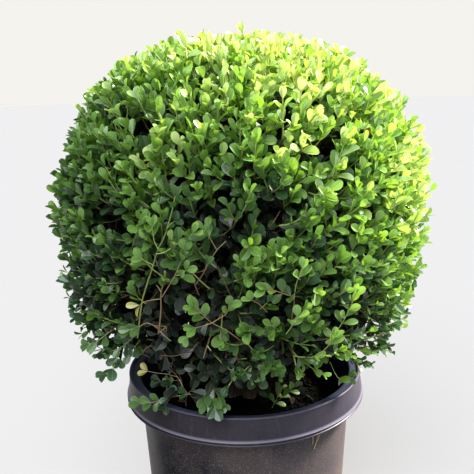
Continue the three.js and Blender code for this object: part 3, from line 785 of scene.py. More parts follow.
def hides(points, spots):
    """True where a point shows just beside one of the spots in space, and in front of it."""
    shown, here = to_photo(spots), to_photo(points)
    across = here[..., None, 0] - shown[:, 0]
    down = here[..., None, 1] - shown[:, 1]
    to_point = np.linalg.norm(points - CAMERA_PLACE, axis=-1)
    to_spot = np.linalg.norm(spots - CAMERA_PLACE, axis=-1)
    return ((np.hypot(across, down) < LEAF_CLEARANCE) & (to_point[..., None] < to_spot)).any(-1)


def photo_ray(x, y):
    """The unit direction in which a pixel of the photograph looks."""
    right, up, forward = camera_axes()
    middle = PHOTO_SIDE / 2
    return unit(forward + right * (x - middle) / FOCAL_PIXELS + up * (middle - y) / FOCAL_PIXELS)


def seen_first(x, y, is_in, step):
    """The first point along a pixel's view that is in something."""
    points = CAMERA_PLACE + photo_ray(x, y) * np.arange(*VIEW_SPAN, step)[:, None]
    return points[is_in(points).argmax()]


def seen_on_wall(x, y):
    """The point just off the pot's wall that shows at a pixel."""
    return seen_first(x, y, lambda points: polar(points)[0] < wall_radius(points[:, 2]) + STRAND_GAP, 0.5)


def seen_on_crown(x, y, inset):
    """The point of the crown's surface, drawn in by an inset, that shows at a pixel."""
    return seen_first(x, y, lambda points: inside_crown(points, -inset), 1)


def seen_at_height(x, y, height):
    """The point at a height that shows at a pixel."""
    ray = photo_ray(x, y)
    return CAMERA_PLACE + ray * (height - CAMERA_PLACE[2]) / ray[2]


def linked(made):
    bpy.context.scene.collection.objects.link(made)
    return made


def make_camera():
    data = bpy.data.cameras.new("photo_camera")
    data.sensor_width = SENSOR_WIDTH
    data.lens = FOCAL_PIXELS * SENSOR_WIDTH / PHOTO_SIDE
    data.clip_start, data.clip_end = 0.01, 50
    camera = linked(bpy.data.objects.new("photo_camera", data))
    right, up, forward = camera_axes()
    turn = Matrix(np.stack([right, up, -forward], 1).tolist()).to_4x4()
    camera.matrix_world = Matrix.Translation(Vector(CAMERA_PLACE * METRES)) @ turn
    bpy.context.scene.camera = camera


# Materials.


class Nodes:
    """Short calls for a material's node tree."""

    def __init__(self, name):
        self.material = bpy.data.materials.new(name)
        self.material.use_nodes = True
        self.tree = self.material.node_tree
        self.tree.nodes.clear()
        self.output = self.tree.nodes.new("ShaderNodeOutputMaterial")

    def add(self, kind, sockets=None, **values):
        """A node with these settings. A socket is linked to a source socket or set to a plain value."""
        node = self.tree.nodes.new("ShaderNode" + kind)
        for name, value in values.items():
            setattr(node, name, value)
        for socket, source in (sockets or {}).items():
            if isinstance(source, bpy.types.NodeSocket):
                self.tree.links.new(source, node.inputs[socket])
            else:
                node.inputs[socket].default_value = source
        return node

    def place(self):
        return self.add("TexCoord").outputs["Object"]

    def stretched(self, vector, scale):
        return self.add("Mapping", {"Vector": vector, "Scale": scale}).outputs["Vector"]

    def noise(self, vector, scale, detail, roughness=0.55):
        sockets = {"Vector": vector, "Scale": scale, "Detail": detail, "Roughness": roughness}
        return self.add("TexNoise", sockets).outputs["Fac"]

    def ramp(self, source, stops):
        """A ramp of greys. Each stop is (position, grey)."""
        node = self.add("ValToRGB", {"Fac": source})
        elements = node.color_ramp.elements
        while len(elements) < len(stops):
            elements.new(0.5)
        for element, (position, grey) in zip(elements, stops):
            element.position = position
            element.color = (grey, grey, grey, 1)
        return node.outputs["Color"]

    def mix(self, share, first, second):
        """The mix of two colours, each a source socket or a plain colour."""
        colours = [(*colour, 1) if isinstance(colour, tuple) else colour for colour in (first, second)]
        return self.add("Mix", {0: share, 6: colours[0], 7: colours[1]}, data_type="RGBA").outputs[2]

    def maths(self, operation, first, second=0.0, clamp=False):
        return self.add("Math", {0: first, 1: second}, operation=operation, use_clamp=clamp).outputs[0]

    def times(self, first, second):
        return self.maths("MULTIPLY", first, second)

    def plus(self, first, second, clamp=False):
        return self.maths("ADD", first, second, clamp)

    def rise(self, source, slope, level):
        """A straight rise along a source, kept between 0 and 1."""
        return self.plus(self.times(source, slope), level, clamp=True)

    def bump(self, height, strength, distance):
        sockets = {"Height": height, "Strength": strength, "Distance": distance}
        return self.add("Bump", sockets).outputs["Normal"]

    def principled(self, **sockets):
        names = {name.replace("_", " ").title(): value for name, value in sockets.items()}
        fixed = {"Specular Ior Level": "Specular IOR Level"}
        return self.add("BsdfPrincipled", {fixed.get(k, k): v for k, v in names.items()}).outputs[0]

    def finish(self, shader):
        self.tree.links.new(shader, self.output.inputs["Surface"])
        return self.material

    def skin(self, **sockets):
        """The finished material of one plain surface."""
        return self.finish(self.principled(**sockets))


def darker(colour, share):
    return tuple(share * c for c in colour)


def leaf_material(name, colour, rim, glow):
    """A box leaf with a pale midrib and a pale rim, partly a painted edge highlight, and a stalk end
    darkened as painted shade. The darker its tone, the glossier its skin; darker tones stand for older
    leaves, and the darkest also for painted shade.

    In its tile of the map, u runs across the leaf and v from its stalk to its tip.
    """
    nodes = Nodes(name)
    split = nodes.add("SeparateXYZ", {"Vector": nodes.add("UVMap", uv_map=LEAF_MAP).outputs["UV"]})
    across = nodes.maths("FRACT", nodes.times(split.outputs["X"], LEAF_TILES))
    across = nodes.maths("ABSOLUTE", nodes.maths("SUBTRACT", across, 0.5))
    rib = nodes.ramp(across, RIB_RAMP)
    # The pale rim is partly a painted highlight along the leaf's edge.
    edge = nodes.ramp(across, LEAF_RIM_AND_HIGHLIGHT_RAMP)
    pale = nodes.plus(nodes.times(rib, PALE_SHARE), nodes.times(edge, PALE_SHARE))
    along = nodes.maths("FRACT", nodes.times(split.outputs["Y"], LEAF_TILES))
    # The stalk end is darkened as painted shade.
    blade = nodes.mix(nodes.ramp(along, STALK_SHADE_RAMP), colour, darker(colour, STALK_PAINTED_SHADE))
    skin = nodes.principled(
        base_color=nodes.mix(pale, blade, rim),
        roughness=LEAF_ROUGHNESS,
        specular_ior_level=LEAF_SHEEN,
        coat_weight=mixed(*LEAF_COAT, colour[1]),
        coat_roughness=COAT_ROUGHNESS,
    )
    through = nodes.add("BsdfTranslucent", {"Color": (*glow, 1)}).outputs[0]
    return nodes.finish(nodes.add("MixShader", {0: PASSED_THROUGH, 1: skin, 2: through}).outputs[0])


def bark_material(name, pale, dark, scale, relief):
    nodes = Nodes(name)
    place = nodes.place()
    grain = nodes.noise(nodes.stretched(place, (1, 1, 0.25)), scale * 4, 6.0, 0.6)
    patches = nodes.noise(place, scale, 3.0)
    colour = nodes.mix(nodes.ramp(grain, [(0.35, 0.0), (0.65, 1.0)]), dark, pale)
    colour = nodes.mix(nodes.times(patches, 0.4), colour, darker(dark, 0.6))
    height = nodes.plus(grain, nodes.times(patches, 0.5))
    return nodes.skin(base_color=colour, roughness=0.85, normal=nodes.bump(height, relief, 0.0008))


def twig_material(name, colour, roughness):
    """A young stem's even skin, a little streaked."""
    nodes = Nodes(name)
    streaks = nodes.noise(nodes.place(), 220.0, 2.0)
    shade = nodes.mix(nodes.times(streaks, 0.5), colour, darker(colour, 0.55))
    return nodes.skin(base_color=shade, roughness=roughness)


def inside_of_mouth(nodes, place, height, share_up):
    """1 on the inner face of the band and of the wall above the soil, and 0 elsewhere."""
    lean = (BAND_RADIUS - RIM_RADIUS) / BAND_HEIGHT
    level = nodes.stretched(place, (1, 1, 0))
    radius = nodes.add("VectorMath", {0: level}, operation="LENGTH").outputs["Value"]
    middle_radius = (RIM_RADIUS - WALL_THICKNESS / 2 + POT_HEIGHT * lean) * METRES
    inside = nodes.maths("LESS_THAN", nodes.plus(radius, nodes.times(height, lean)), middle_radius)
    return nodes.times(inside, nodes.ramp(share_up, MOUTH_RAMP))


def pot_material():
    """Black nursery plastic: a clean glossy band, and a wall browned by dust with fine specks and scuffs.
    Painted light makes it lighter and bluer to the right and the front, pale dust and painted highlights
    line the bead and the lip, and the inside of the mouth has a painted bluish reflection.
    """
    nodes = Nodes("dusty_plastic_and_painted_light")
    place = nodes.place()
    split = nodes.add("SeparateXYZ", {"Vector": place})
    x, y, z = (split.outputs[axis] for axis in "XYZ")
    share_up = nodes.maths("DIVIDE", z, POT_HEIGHT * METRES)
    wall = nodes.ramp(share_up, WALL_RAMP)
    cloudy = nodes.ramp(nodes.noise(place, CLOUD_SCALE, 5.0, 0.6), CLOUD_RAMP)
    grit = nodes.noise(place, GRIT_SCALE, 3.0, 0.65)
    scuffs = nodes.noise(nodes.stretched(place, (1, 1, 0.14)), SCUFF_SCALE, 4.0, 0.65)
    # Painted light: dust and a bluish sheen rise to the right and the front.
    painted_light_side = nodes.times(nodes.rise(x, *PAINTED_LIGHT_RIGHTWARD), nodes.rise(y, *PAINTED_LIGHT_FRONTWARD))
    dust_and_painted_light = nodes.plus(nodes.times(cloudy, CLOUD_DUST), nodes.times(painted_light_side, DUST_AND_PAINTED_LIGHT_SHARE))
    dust_and_painted_light = nodes.times(wall, nodes.maths("SUBTRACT", dust_and_painted_light, CLEAN_BELOW, clamp=True))
    specks = nodes.ramp(grit, SPECK_RAMP)
    speckled = nodes.times(specks, nodes.plus(nodes.times(wall, WALL_SPECKS), BAND_SPECKS))
    pitted = nodes.times(nodes.ramp(grit, PIT_RAMP), PIT_SHARE)
    streaked = nodes.times(nodes.ramp(scuffs, SCUFF_RAMP), SCUFF_SHARE)
    colour = nodes.mix(cloudy, CLEAN_PLASTIC, GREYED_PLASTIC)
    for share, layer in (
        # a painted bluish sheen to the right and the front
        (nodes.times(painted_light_side, PAINTED_SHEEN_SHARE), PAINTED_SHEEN_PLASTIC),
        (dust_and_painted_light, BROWN_DUST),
        (speckled, PALE_SPECKS),
        (pitted, DARK_PITS),
        (streaked, SCUFFED),
        # pale dust and painted highlights on the bead and the lip
        (nodes.ramp(share_up, LEDGE_DUST_AND_HIGHLIGHTS), SETTLED_DUST_AND_HIGHLIGHT),
        # the painted bluish reflection inside the mouth
        (inside_of_mouth(nodes, place, z, share_up), MOUTH_PAINTED_REFLECTION),
    ):
        colour = nodes.mix(share, colour, layer)
    return nodes.skin(
        base_color=colour,
        roughness=nodes.plus(nodes.times(dust_and_painted_light, DUST_ROUGHNESS), nodes.ramp(grit, GLOSS_RAMP)),
        specular_ior_level=PLASTIC_SHEEN,
        normal=nodes.bump(nodes.plus(grit, scuffs), 0.12, 0.0004),
    )


def soil_material(name, dark, pale):
    nodes = Nodes(name)
    place = nodes.place()
    crumbs = nodes.noise(place, 180.0, 6.0, 0.7)
    patches = nodes.noise(place, 30.0, 3.0)
    colour = nodes.mix(nodes.ramp(crumbs, [(0.42, 0.0), (0.75, 1.0)]), dark, pale)
    colour = nodes.mix(nodes.times(patches, 0.5), colour, darker(dark, 0.5))
    relief = nodes.bump(crumbs, 0.8, 0.002)
    return nodes.skin(base_color=colour, roughness=0.95, specular_ior_level=0.08, normal=relief)


def floor_material():
    nodes = Nodes("pale_floor")
    tone = nodes.times(nodes.noise(nodes.place(), 3.0, 3.0), 0.3)
    colour = nodes.mix(tone, (0.215, 0.22, 0.23), (0.20, 0.205, 0.215))
    return nodes.skin(base_color=colour, roughness=1.0, specular_ior_level=0.0)


# Meshes.


def dressed(made, replaced):
    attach(made, BODY)
    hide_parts(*replaced)


def piece(
    name,
    points,
    faces,
    materials,
    slot="bark",
    replaced=("clipped_crown",),
    *,
    dealt=None,
    uv=None,
    sharp=None,
):
    """A named piece of the plant. All of its faces have the same number of corners.

    dealt gives each face's material, uv each corner's place on the leaf map, and sharp is a test
    of the edges, which takes the two vertices of each.
    """
    mesh = bpy.data.meshes.new(name)
    mesh.vertices.add(len(points))
    mesh.vertices.foreach_set("co", (points * METRES).astype(np.float32).ravel())
    mesh.loops.add(faces.size)
    mesh.loops.foreach_set("vertex_index", faces.astype(np.int32).ravel())
    mesh.polygons.add(len(faces))
    mesh.polygons.foreach_set("loop_start", np.arange(0, faces.size, faces.shape[1], dtype=np.int32))
    mesh.update(calc_edges=True)
    mesh.polygons.foreach_set("use_smooth", np.ones(len(faces), bool))
    for material in materials:
        mesh.materials.append(material)
    if dealt is not None:
        mesh.polygons.foreach_set("material_index", dealt.astype(np.int32))
    if uv is not None:
        layer = mesh.uv_layers.new(name=LEAF_MAP)
        layer.data.foreach_set("uv", uv.astype(np.float32).ravel())
    if sharp is not None:
        ends = np.empty(len(mesh.edges) * 2, np.int32)
        mesh.edges.foreach_get("vertices", ends)
        flags = mesh.attributes.new("sharp_edge", "BOOLEAN", "EDGE")
        flags.data.foreach_set("value", sharp(ends.reshape(-1, 2)))
    mesh.update()
    dressed(linked(bpy.data.objects.new(name, mesh)), replaced)


def plain_object(name, points, faces):
    """An object from points in metres and faces with any numbers of corners."""
    mesh = bpy.data.meshes.new(name)
    mesh.from_pydata(points.tolist(), [], faces)
    return linked(bpy.data.objects.new(name, mesh))


def ring_faces(rings, sides):
    """Quads between successive rings of points, ring after ring."""
    ring = np.arange(rings - 1)[:, None] * sides
    side = np.arange(sides)[None, :]
    after = (side + 1) % sides
    corners = [ring + side, ring + after, ring + sides + after, ring + sides + side]
    return np.stack(corners, -1).reshape(-1, 4)


def copied_faces(faces, corners, copies):
    """The faces of one shape, repeated for copies that have this many corners each."""
    return (faces[None] + (np.arange(copies) * corners)[:, None, None]).reshape(-1, faces.shape[1])


def bezier(ends, share):
    """Points and unit headings of cubic curves at a share of their length. ends has four points a curve."""
    share = np.asarray(share, float)[..., None]
    a, b, c, d = (ends[..., i, :] for i in range(4))
    rest = 1 - share
    points = a * rest**3 + 3 * b * rest**2 * share + 3 * c * rest * share**2 + d * share**3
    headings = (b - a) * rest**2 + 2 * (c - b) * rest * share + (d - c) * share**2
    return points, unit(headings)


def bezier_ends(start, start_heading, end, end_heading):
    third = np.linalg.norm(end - start, axis=-1, keepdims=True) / 3
    return np.stack([start, start + start_heading * third, end - end_heading * third, end], -2)


def curve_paths(ends, radii, steps):
    """Points along curves at even steps, and the radii there from a first and a last one a curve."""
    shares = np.linspace(0, 1, steps)
    paths = np.stack([bezier(ends, share)[0] for share in shares], 1)
    return paths, mixed(radii[:, :1], radii[:, 1:], shares[None])


def tubes(paths, radii, sides):
    """Tubes round paths that all have as many points. paths is (tubes, points, 3), radii (tubes, points)."""
    count, steps, _ = paths.shape
    headings = unit(np.gradient(paths, axis=1))
    aside = beside(unit(paths[:, -1] - paths[:, 0]), 0.8)
    first = square_to(np.repeat(aside[:, None], steps, 1), headings)
    second = np.cross(headings, first)
    angles = full_circle(sides)[:, None]
    around = first[:, :, None] * np.cos(angles) + second[:, :, None] * np.sin(angles)
    points = paths[:, :, None] + around * radii[:, :, None, None]
    return points.reshape(-1, 3), copied_faces(ring_faces(steps, sides), steps * sides, count)


def smooth_path(spots, steps):
    """Points at even steps of a curve through spots in space."""
    spots = np.array(spots)
    slopes = np.gradient(spots, axis=0)
    along = np.linspace(0, len(spots) - 1, steps)
    first = np.minimum(along.astype(int), len(spots) - 2)
    a, b = spots[first], spots[first + 1]
    ends = np.stack([a, a + slopes[first] / 3, b - slopes[first + 1] / 3, b], 1)
    return bezier(ends, along - first)[0]


# Limbs.


class Limbs:
    """Curved limbs of one order, and the points along them from which the next order may leave."""

    def __init__(self, ends, radii):
        self.ends = ends
        self.radii = radii
        points, headings = zip(*(bezier(ends, share) for share in FORK_SHARES))
        self.forks = np.concatenate(points)
        self.fork_headings = np.concatenate(headings)
        self.fork_radii = np.concatenate([mixed(radii[:, 0], radii[:, 1], share) for share in FORK_SHARES])

    def start_for(self, tips, headings, length):
        """The fork that limbs of about this length, with these tips and headings, leave best."""
        wanted = tips - headings * length
        gap = np.linalg.norm(wanted[:, None] - self.forks[None], axis=-1)
        reach = tips[:, None] - self.forks[None]
        distance = np.linalg.norm(reach, axis=-1)
        along = (reach * self.fork_headings[None]).sum(-1) / np.maximum(distance, 1e-6)
        return (gap + TURN_COST * distance * (1 - along)).argmin(1)

    def keep(self, chosen):
        self.ends, self.radii = self.ends[chosen], self.radii[chosen]
        self.rolls, self.tones = self.rolls[chosen], self.tones[chosen]

    def tube(self, steps, sides, wobble, random):
        paths, radii = curve_paths(self.ends, self.radii, steps)
        paths[:, 1:-1] += random.normal(size=paths[:, 1:-1].shape) * wobble
        return tubes(paths, radii, sides)


def grown_from(parents, tips, headings, length, radii):
    """Limbs that leave the best fork of their parents and reach these tips."""
    fork = parents.start_for(tips, headings, length)
    start, leaving = parents.forks[fork], parents.fork_headings[fork]
    out = unit(LEAVING_SHARE * leaving + unit(tips - start))
    first = np.minimum(radii[0], parents.fork_radii[fork] * THINNER_SHARE)
    last = np.minimum(radii[1], first)
    return Limbs(bezier_ends(start, out, tips, headings), np.stack([first, last], 1))


def trunk_at(share):
    """A point of the leaning trunk's axis and its heading."""
    low = np.array([0, 0, SOIL_TOP + CLEARANCE])
    middle = np.array([0, 0, SOIL_TOP + TRUNK_HEIGHT / 2])
    top = np.array([*TRUNK_LEAN, SOIL_TOP + TRUNK_HEIGHT])
    rest = 1 - share
    point = low * rest**2 + 2 * middle * rest * share + top * share**2
    return point, unit((middle - low) * rest + (top - middle) * share)


def make_boughs():
    """The source's side boughs and leader."""
    curves, radii = [], []
    for i in range(SIDE_BOUGHS):
        rank = i / (SIDE_BOUGHS - 1)
        azimuth = FIRST_BOUGH_AZIMUTH + i * GOLDEN_ANGLE
        start, _ = trunk_at((FIRST_BOUGH_HEIGHT + i * BOUGH_SPACING) / TRUNK_HEIGHT)
        end, _ = crown_points(mixed(*BOUGH_SHARES, rank), azimuth, BOUGH_END_INSET)
        leaving = direction_of(azimuth, BOUGH_START_ELEVATION)
        arriving = direction_of(azimuth, mixed(*BOUGH_END_ELEVATIONS, rank))
        curves.append(bezier_ends(start, leaving, end, arriving))
        radii.append((BOUGH_RADIUS, BOUGH_TIP_RADIUS))
    start, leaving = trunk_at(1)
    end, _ = crown_points(LEADER_SHARE, LEADER_AZIMUTH, BOUGH_END_INSET)
    curves.append(bezier_ends(start, leaving, end, UP))
    radii.append((TRUNK_TIP_RADIUS, BOUGH_TIP_RADIUS))
    return Limbs(np.array(curves), np.array(radii))


def spray_headings(shares, normals, random):
    """The source's rule: out of the surface, pulled down at the crown's foot and up above it."""
    pull = mixed(PULL_AT_FOOT, PULL_AT_TOP, np.minimum(1, shares / PULL_RISE))
    loose = random.uniform(-1, 1, normals.shape) * SCATTER
    return unit(normals + UP * pull[:, None] + loose)


def grow_crown(boughs):
    """Each order of limbs, grown on from the one before it. Twigs are side growth of the branches."""
    random = seeded("crown")
    crown = {}
    parents = boughs
    for number, (name, order) in enumerate(LIMB_ORDERS.items()):
        count = order["count"]
        shares = even_shares(count)
        azimuths = np.arange(count) * GOLDEN_ANGLE + number * ORDER_TURN
        insets = random.uniform(*order["inset"], count)
        tips, normals = crown_points(shares, azimuths, insets, LOWEST_TIP)
        headings = spray_headings(shares, normals, random)
        kept = clear_of_pot(tips) & above_hem(tips)
        if name == "stems":
            kept &= random.random(count) > hollow_share(tips)
        if name == "twigs":
            headings = unit(headings + random.normal(size=headings.shape) * TWIG_SCATTER)
        limbs = grown_from(parents, tips[kept], headings[kept], order["length"], order["radii"])
        limbs.shares, limbs.normals, limbs.insets = shares[kept], normals[kept], insets[kept]
        crown[name] = limbs
        if name != "twigs":
            parents = limbs
    return crown


def spray_tones(stems, random):
    """Each spray's tone: from old green at the foot to lime at the top, in clumps. Painted sunlight lightens
    the sunny side and painted skylight the front, patches add painted light and shade, and painted shade
    darkens the foot on the shaded side.
    """
    tips = stems.ends[:, 3]
    height = np.clip((tips[:, 2] - TONE_FOOT_LEVEL) / (CROWN_TOP - TONE_FOOT_LEVEL), 0, 1)
    sunny = np.clip(stems.normals @ unit(np.array(SUN_DIRECTION)), 0, 1)
    # Painted light: the sunny side and the front are lighter, and the foot on the shaded side is darker.
    level = TONE_AT_FOOT + HEIGHT_TONE * height**HEIGHT_POWER + PAINTED_SUN_TONE * sunny
    level += CLUMP_TONE * ripple(tips, CLUMP_WIDTH, "clumps")
    level += random.normal(size=len(tips)) * CHANCE_TONE
    level += PAINTED_SKYLIGHT_TONE * np.clip(-stems.normals[:, 1], 0, 1)
    # Patches of painted light and painted shade.
    level += patch_sum(PAINTED_LIGHT_PATCHES, tips, stems.normals)
    level += random.normal(size=len(tips)) * SUNNY_CHANCE_TONE * sunny
    shaded = np.clip((SHADED_BELOW - tips[:, 2]) / SHADE_HEIGHT, 0, 1)
    level -= PAINTED_SHADE_TONE * shaded * np.clip(1 - SHADE_SUN_SHARE * sunny, 0, 1)
    return np.clip(level, DEEP, LIME)


def grow_shoots(stems, random, shown):
    """Two or three young shoots at the clipped end of each stem, and sometimes one lower down."""
    all_ends, all_tones, all_stems = [], [], []
    for share, angle, turn, chance in SHOOTS:
        chosen = np.flatnonzero(random.random(len(stems.ends)) < chance)
        count = len(chosen)
        point, heading = bezier(stems.ends[chosen], share)
        normal = stems.normals[chosen]
        aside = square_to(beside(heading), heading)
        aside = turned_about(aside, heading, stems.rolls[chosen] + turn * math.pi)
        leaving = towards(heading, aside, angle * random.uniform(*SHOOT_ANGLE_RANGE, count))
        lift = mixed(*SHOOT_LIFT, np.minimum(1, stems.shares[chosen] / SHOOT_LIFT_RISE))[:, None]
        loose = random.normal(size=normal.shape) * SHOOT_SCATTER
        arriving = unit(leaving + UP * lift + normal * SHOOT_OUTWARD + loose)
        inset = stems.insets[chosen] * mixed(1, LOWER_SHOOT_INSET, 1 - share)
        tip_inset = random.uniform(*SHOOT_TIP_INSET, count)
        tip_inset = tip_inset - patch_sum(SWELLINGS, point + normal * inset[:, None], normal)
        along = unit(leaving + arriving)
        rise = np.maximum(FLATTEST_SHOOT, dots(along, normal)[:, 0])
        reach = np.clip((inset - tip_inset) / rise, *SHOOT_REACH)
        all_ends.append(bezier_ends(point, leaving, point + along * reach[:, None], arriving))
        all_tones.append(stems.tones[chosen] + random.normal(size=count) * SHOOT_TONE_SCATTER)
        all_stems.append(chosen)
    ends, tones, owners = (np.concatenate(part) for part in (all_ends, all_tones, all_stems))
    along = np.stack([bezier(ends, share)[0] for share in SHOOT_TEST_SHARES], 1)
    kept = clear_of_pot(along).all(1) & above_hem(along - UP * HEM_GAP).all(1)
    kept &= random.random(len(ends)) > hollow_share(along[:, 2])
    kept &= hides(along, shown).sum(1) < np.where(ends[:, 3, 2] < SHADED_BELOW, 1, 2)
    return ends[kept], tones[kept], owners[kept]


# Leaves.


def leaf_template():
    """A leaf's points as (across, along), its faces, and the number of points in its midrib."""
    rib = [(0.0, along) for along in MIDRIB]
    half = list(HALF_OUTLINE)
    points = rib + half + [(-across, along) for across, along in half]
    faces = []
    for side in (1, -1):
        first = len(rib) if side == 1 else len(rib) + len(half)
        edge = [0, *range(first, first + len(half)), len(rib) - 1]
        inner, outer = 0, 1
        while inner < len(rib) - 1 or outer < len(edge) - 2:
            rib_next = points[inner + 1][1] if inner < len(rib) - 1 else 2
            edge_next = points[edge[outer + 1]][1] if outer < len(edge) - 2 else 2
            if inner < len(rib) - 1 and rib_next <= edge_next:
                face = (inner, edge[outer], inner + 1)
                inner += 1
            else:
                face = (inner, edge[outer], edge[outer + 1])
                outer += 1
            faces.append(face if side == 1 else face[::-1])
    return np.array(points), np.array(faces), len(rib)


class Leaves:
    """Leaves collected as arrays, to be joined into pieces."""

    def __init__(self):
        self.parts = []

    def add(self, base, heading, facing, length, tone):
        count = len(base)
        columns = (base, heading, facing, np.broadcast_to(length, count), np.broadcast_to(tone, count))
        self.parts.append(tuple(np.array(column, float) for column in columns))

    def arrays(self):
        return [np.concatenate(column) for column in zip(*self.parts)]


def leaf_points(template, base, heading, facing, length, width_share, cup, curl):
    """The points of every leaf, as (leaves, points, 3)."""
    across = unit(np.cross(heading, facing))
    normal = np.cross(across, heading)
    sideways, lengthways = template[None, :, 0], template[None, :, 1]
    side = sideways * (length * width_share / 2)[:, None]
    along = lengthways * length[:, None]
    cupped = cup[:, None] * np.abs(sideways) ** CUP_POWER
    lift = length[:, None] * (cupped - curl[:, None] * lengthways**2)
    shape = zip((across, heading, normal), (side, along, lift))
    return base[:, None] + sum(axis[:, None] * distance[..., None] for axis, distance in shape)


def leaf_pieces(
    leaves, name, *, slot="foliage", replaced="clipped_crown", thinned=False, over_rim=False, hidden=None
):
    """Joins the leaves into pieces, with the tones dealt out as plain materials.

    Thinned leaves are lost one by one in the hollows, leaves over the rim may hang below the hem,
    and no leaf stands in front of the hidden spots, so that those show.
    """
    random = seeded(name)
    template, faces, rib = leaf_template()
    base, heading, facing, length, tone = leaves.arrays()
    count = len(base)
    width = random.uniform(*LEAF_WIDTH_SHARE, count)
    width = width + np.clip((BROADER_BELOW - tone) * BROADER_BY, 0, BROADER_AT_MOST)
    cup, curl = random.uniform(*LEAF_CUP, count), random.uniform(*LEAF_CURL, count)
    points = leaf_points(template, base, heading, facing, length, width, cup, curl)
    kept = clear_of_pot(points).all(1)
    if not over_rim:
        kept &= inside_crown(points, CROWN_TIP_ALLOWANCE).all(1)
        kept &= above_hem(points).mean(1) > SHARE_ABOVE_HEM
    if hidden is not None:
        kept &= ~hides(points.mean(1), hidden)
    if thinned:
        kept &= random.random(count) > hollow_share(points.mean(1))
    points, tone = points[kept], tone[kept].astype(int)
    order = np.argsort(points[:, 0, 2], kind="stable")
    across, along = 0.5 + TILE_HALF_WIDTH * template[:, 0], TILE_FOOT + TILE_LENGTH * template[:, 1]
    on_map = np.stack([across, along], -1)[faces.ravel()]
    parts = max(1, math.ceil(len(points) / MOST_LEAVES_IN_PIECE))
    for number, chosen in enumerate(np.array_split(order, parts)):
        tile = np.stack([tone[chosen] % LEAF_TILES, tone[chosen] // LEAF_TILES], -1)
        piece(
            name if parts == 1 else f"{name}_{number + 1}",
            points[chosen].reshape(-1, 3),
            copied_faces(faces, len(template), len(chosen)),
            leaf_tones,
            slot,
            [replaced],
            dealt=np.repeat(tone[chosen], len(faces)),
            uv=(on_map[None] + tile[:, None]) / LEAF_TILES,
            sharp=lambda ends: (ends % len(template) < rib).all(1),
        )


def add_pairs(leaves, point, heading, aside, facing, spread, length, tone, random):
    """A pair of leaves at each point, on both sides of its heading in the direction of aside."""
    for side in (1, -1):
        angles = spread + random.normal(size=len(point)) * SPREAD_SCATTER
        lean = unit(heading + random.normal(size=heading.shape) * LEAN_SCATTER)
        direction = towards(lean, square_to(aside * side, lean), angles)
        face = facing + random.normal(size=heading.shape) * FACING_SCATTER
        size = length * random.uniform(*LENGTH_RANGE, len(point))
        base = point + direction * STALK_LENGTH
        leaves.add(base, direction, square_to(face, direction), size, tone)


def opposite_pairs(leaves, ends, share, roll, spread, length, tone, random):
    """A pair of leaves on each curve at a share of its length, turned about it by the roll."""
    point, heading = bezier(ends, share)
    aside = turned_about(square_to(beside(heading), heading), heading, roll)
    outward = unit(point - UP * CROWN_MIDDLE)
    facing = heading + FACING_OUTWARD * (outward + UP)
    add_pairs(leaves, point, heading, aside, facing, spread, length, tone, random)


def leaf_lengths(heights, random, size=1):
    """Lengths of leaves in the crown, which stay smallest in the shade near the pot."""
    vigour = mixed(*VIGOUR, np.clip((heights - VIGOUR_LEVEL) / VIGOUR_HEIGHT, 0, 1))
    return random.uniform(*LEAF_LENGTH, len(heights)) * size * vigour


def whole_tones(tone, freshest):
    return np.clip(np.round(tone), DEEP, freshest)


def shoot_leaves(ends, tones, random):
    """Pairs of leaves along the young shoots, each pair at right angles to the one before."""
    leaves = Leaves()
    length = np.linalg.norm(ends[:, 3] - ends[:, 0], axis=1)
    roll = random.uniform(0, math.pi, len(length))
    for node, (spread, size, change) in enumerate(SHOOT_PAIRS):
        gap = node * INTERNODE * random.uniform(*INTERNODE_RANGE, len(length))
        share = 1 - (TIP_GAP + gap) / length
        chosen = share > LOWEST_PAIR_SHARE
        if node == 0:
            share[:], chosen[:] = TIP_PAIR_SHARE, True
        tone = tones[chosen] + change
        tone = whole_tones(tone + random.normal(size=chosen.sum()) * SHOOT_TONE_SCATTER, PALE)
        lengths = leaf_lengths(ends[chosen, 3, 2], random, size)
        turn = (roll + node * math.pi / 2)[chosen]
        opposite_pairs(leaves, ends[chosen], share[chosen], turn, spread, lengths, tone, random)
    return leaves


def stem_leaves(stems, random):
    """Older leaves on the stems below the shoots, darkened partly as painted shade, of which a few have
    turned yellow or dry.
    """
    leaves = Leaves()
    for node, (share, chance, change) in enumerate(STEM_PAIRS):
        chosen = random.random(len(stems.ends)) < chance
        count = chosen.sum()
        loose = random.normal(size=count) * STEM_TONE_SCATTER
        tone = whole_tones(stems.tones[chosen] + change + loose, MID)
        tone = np.where(random.random(count) < TURNED_SHARE, random.choice([YELLOW, DRY], count), tone)
        lengths = leaf_lengths(stems.ends[chosen, 3, 2], random)
        turn = stems.rolls[chosen] + node * math.pi / 2
        opposite_pairs(leaves, stems.ends[chosen], share, turn, STEM_PAIR_SPREAD, lengths, tone, random)
    return leaves


def thicket_leaves(crown, random):
    """Leaves of the thicket inside, dealt the darkest tones as painted shade."""
    leaves = Leaves()
    for name, nodes in INNER_PAIRS.items():
        ends = crown[name].ends
        count = len(ends)
        for share in np.linspace(*INNER_PAIR_SHARES, nodes):
            turn, lengths = random.uniform(0, math.pi, count), random.uniform(*LEAF_LENGTH, count)
            tone = random.choice([DEEP, DEEP, SHADE], count)
            opposite_pairs(leaves, ends, share, turn, INNER_PAIR_SPREAD, lengths, tone, random)
    return leaves


# Twigs that show in the photograph.


def at_distance(distance, lengths, values):
    """The vector at a distance along a path, from those at its points."""
    return np.array([[np.interp(distance, lengths, values[:, i]) for i in range(3)]])


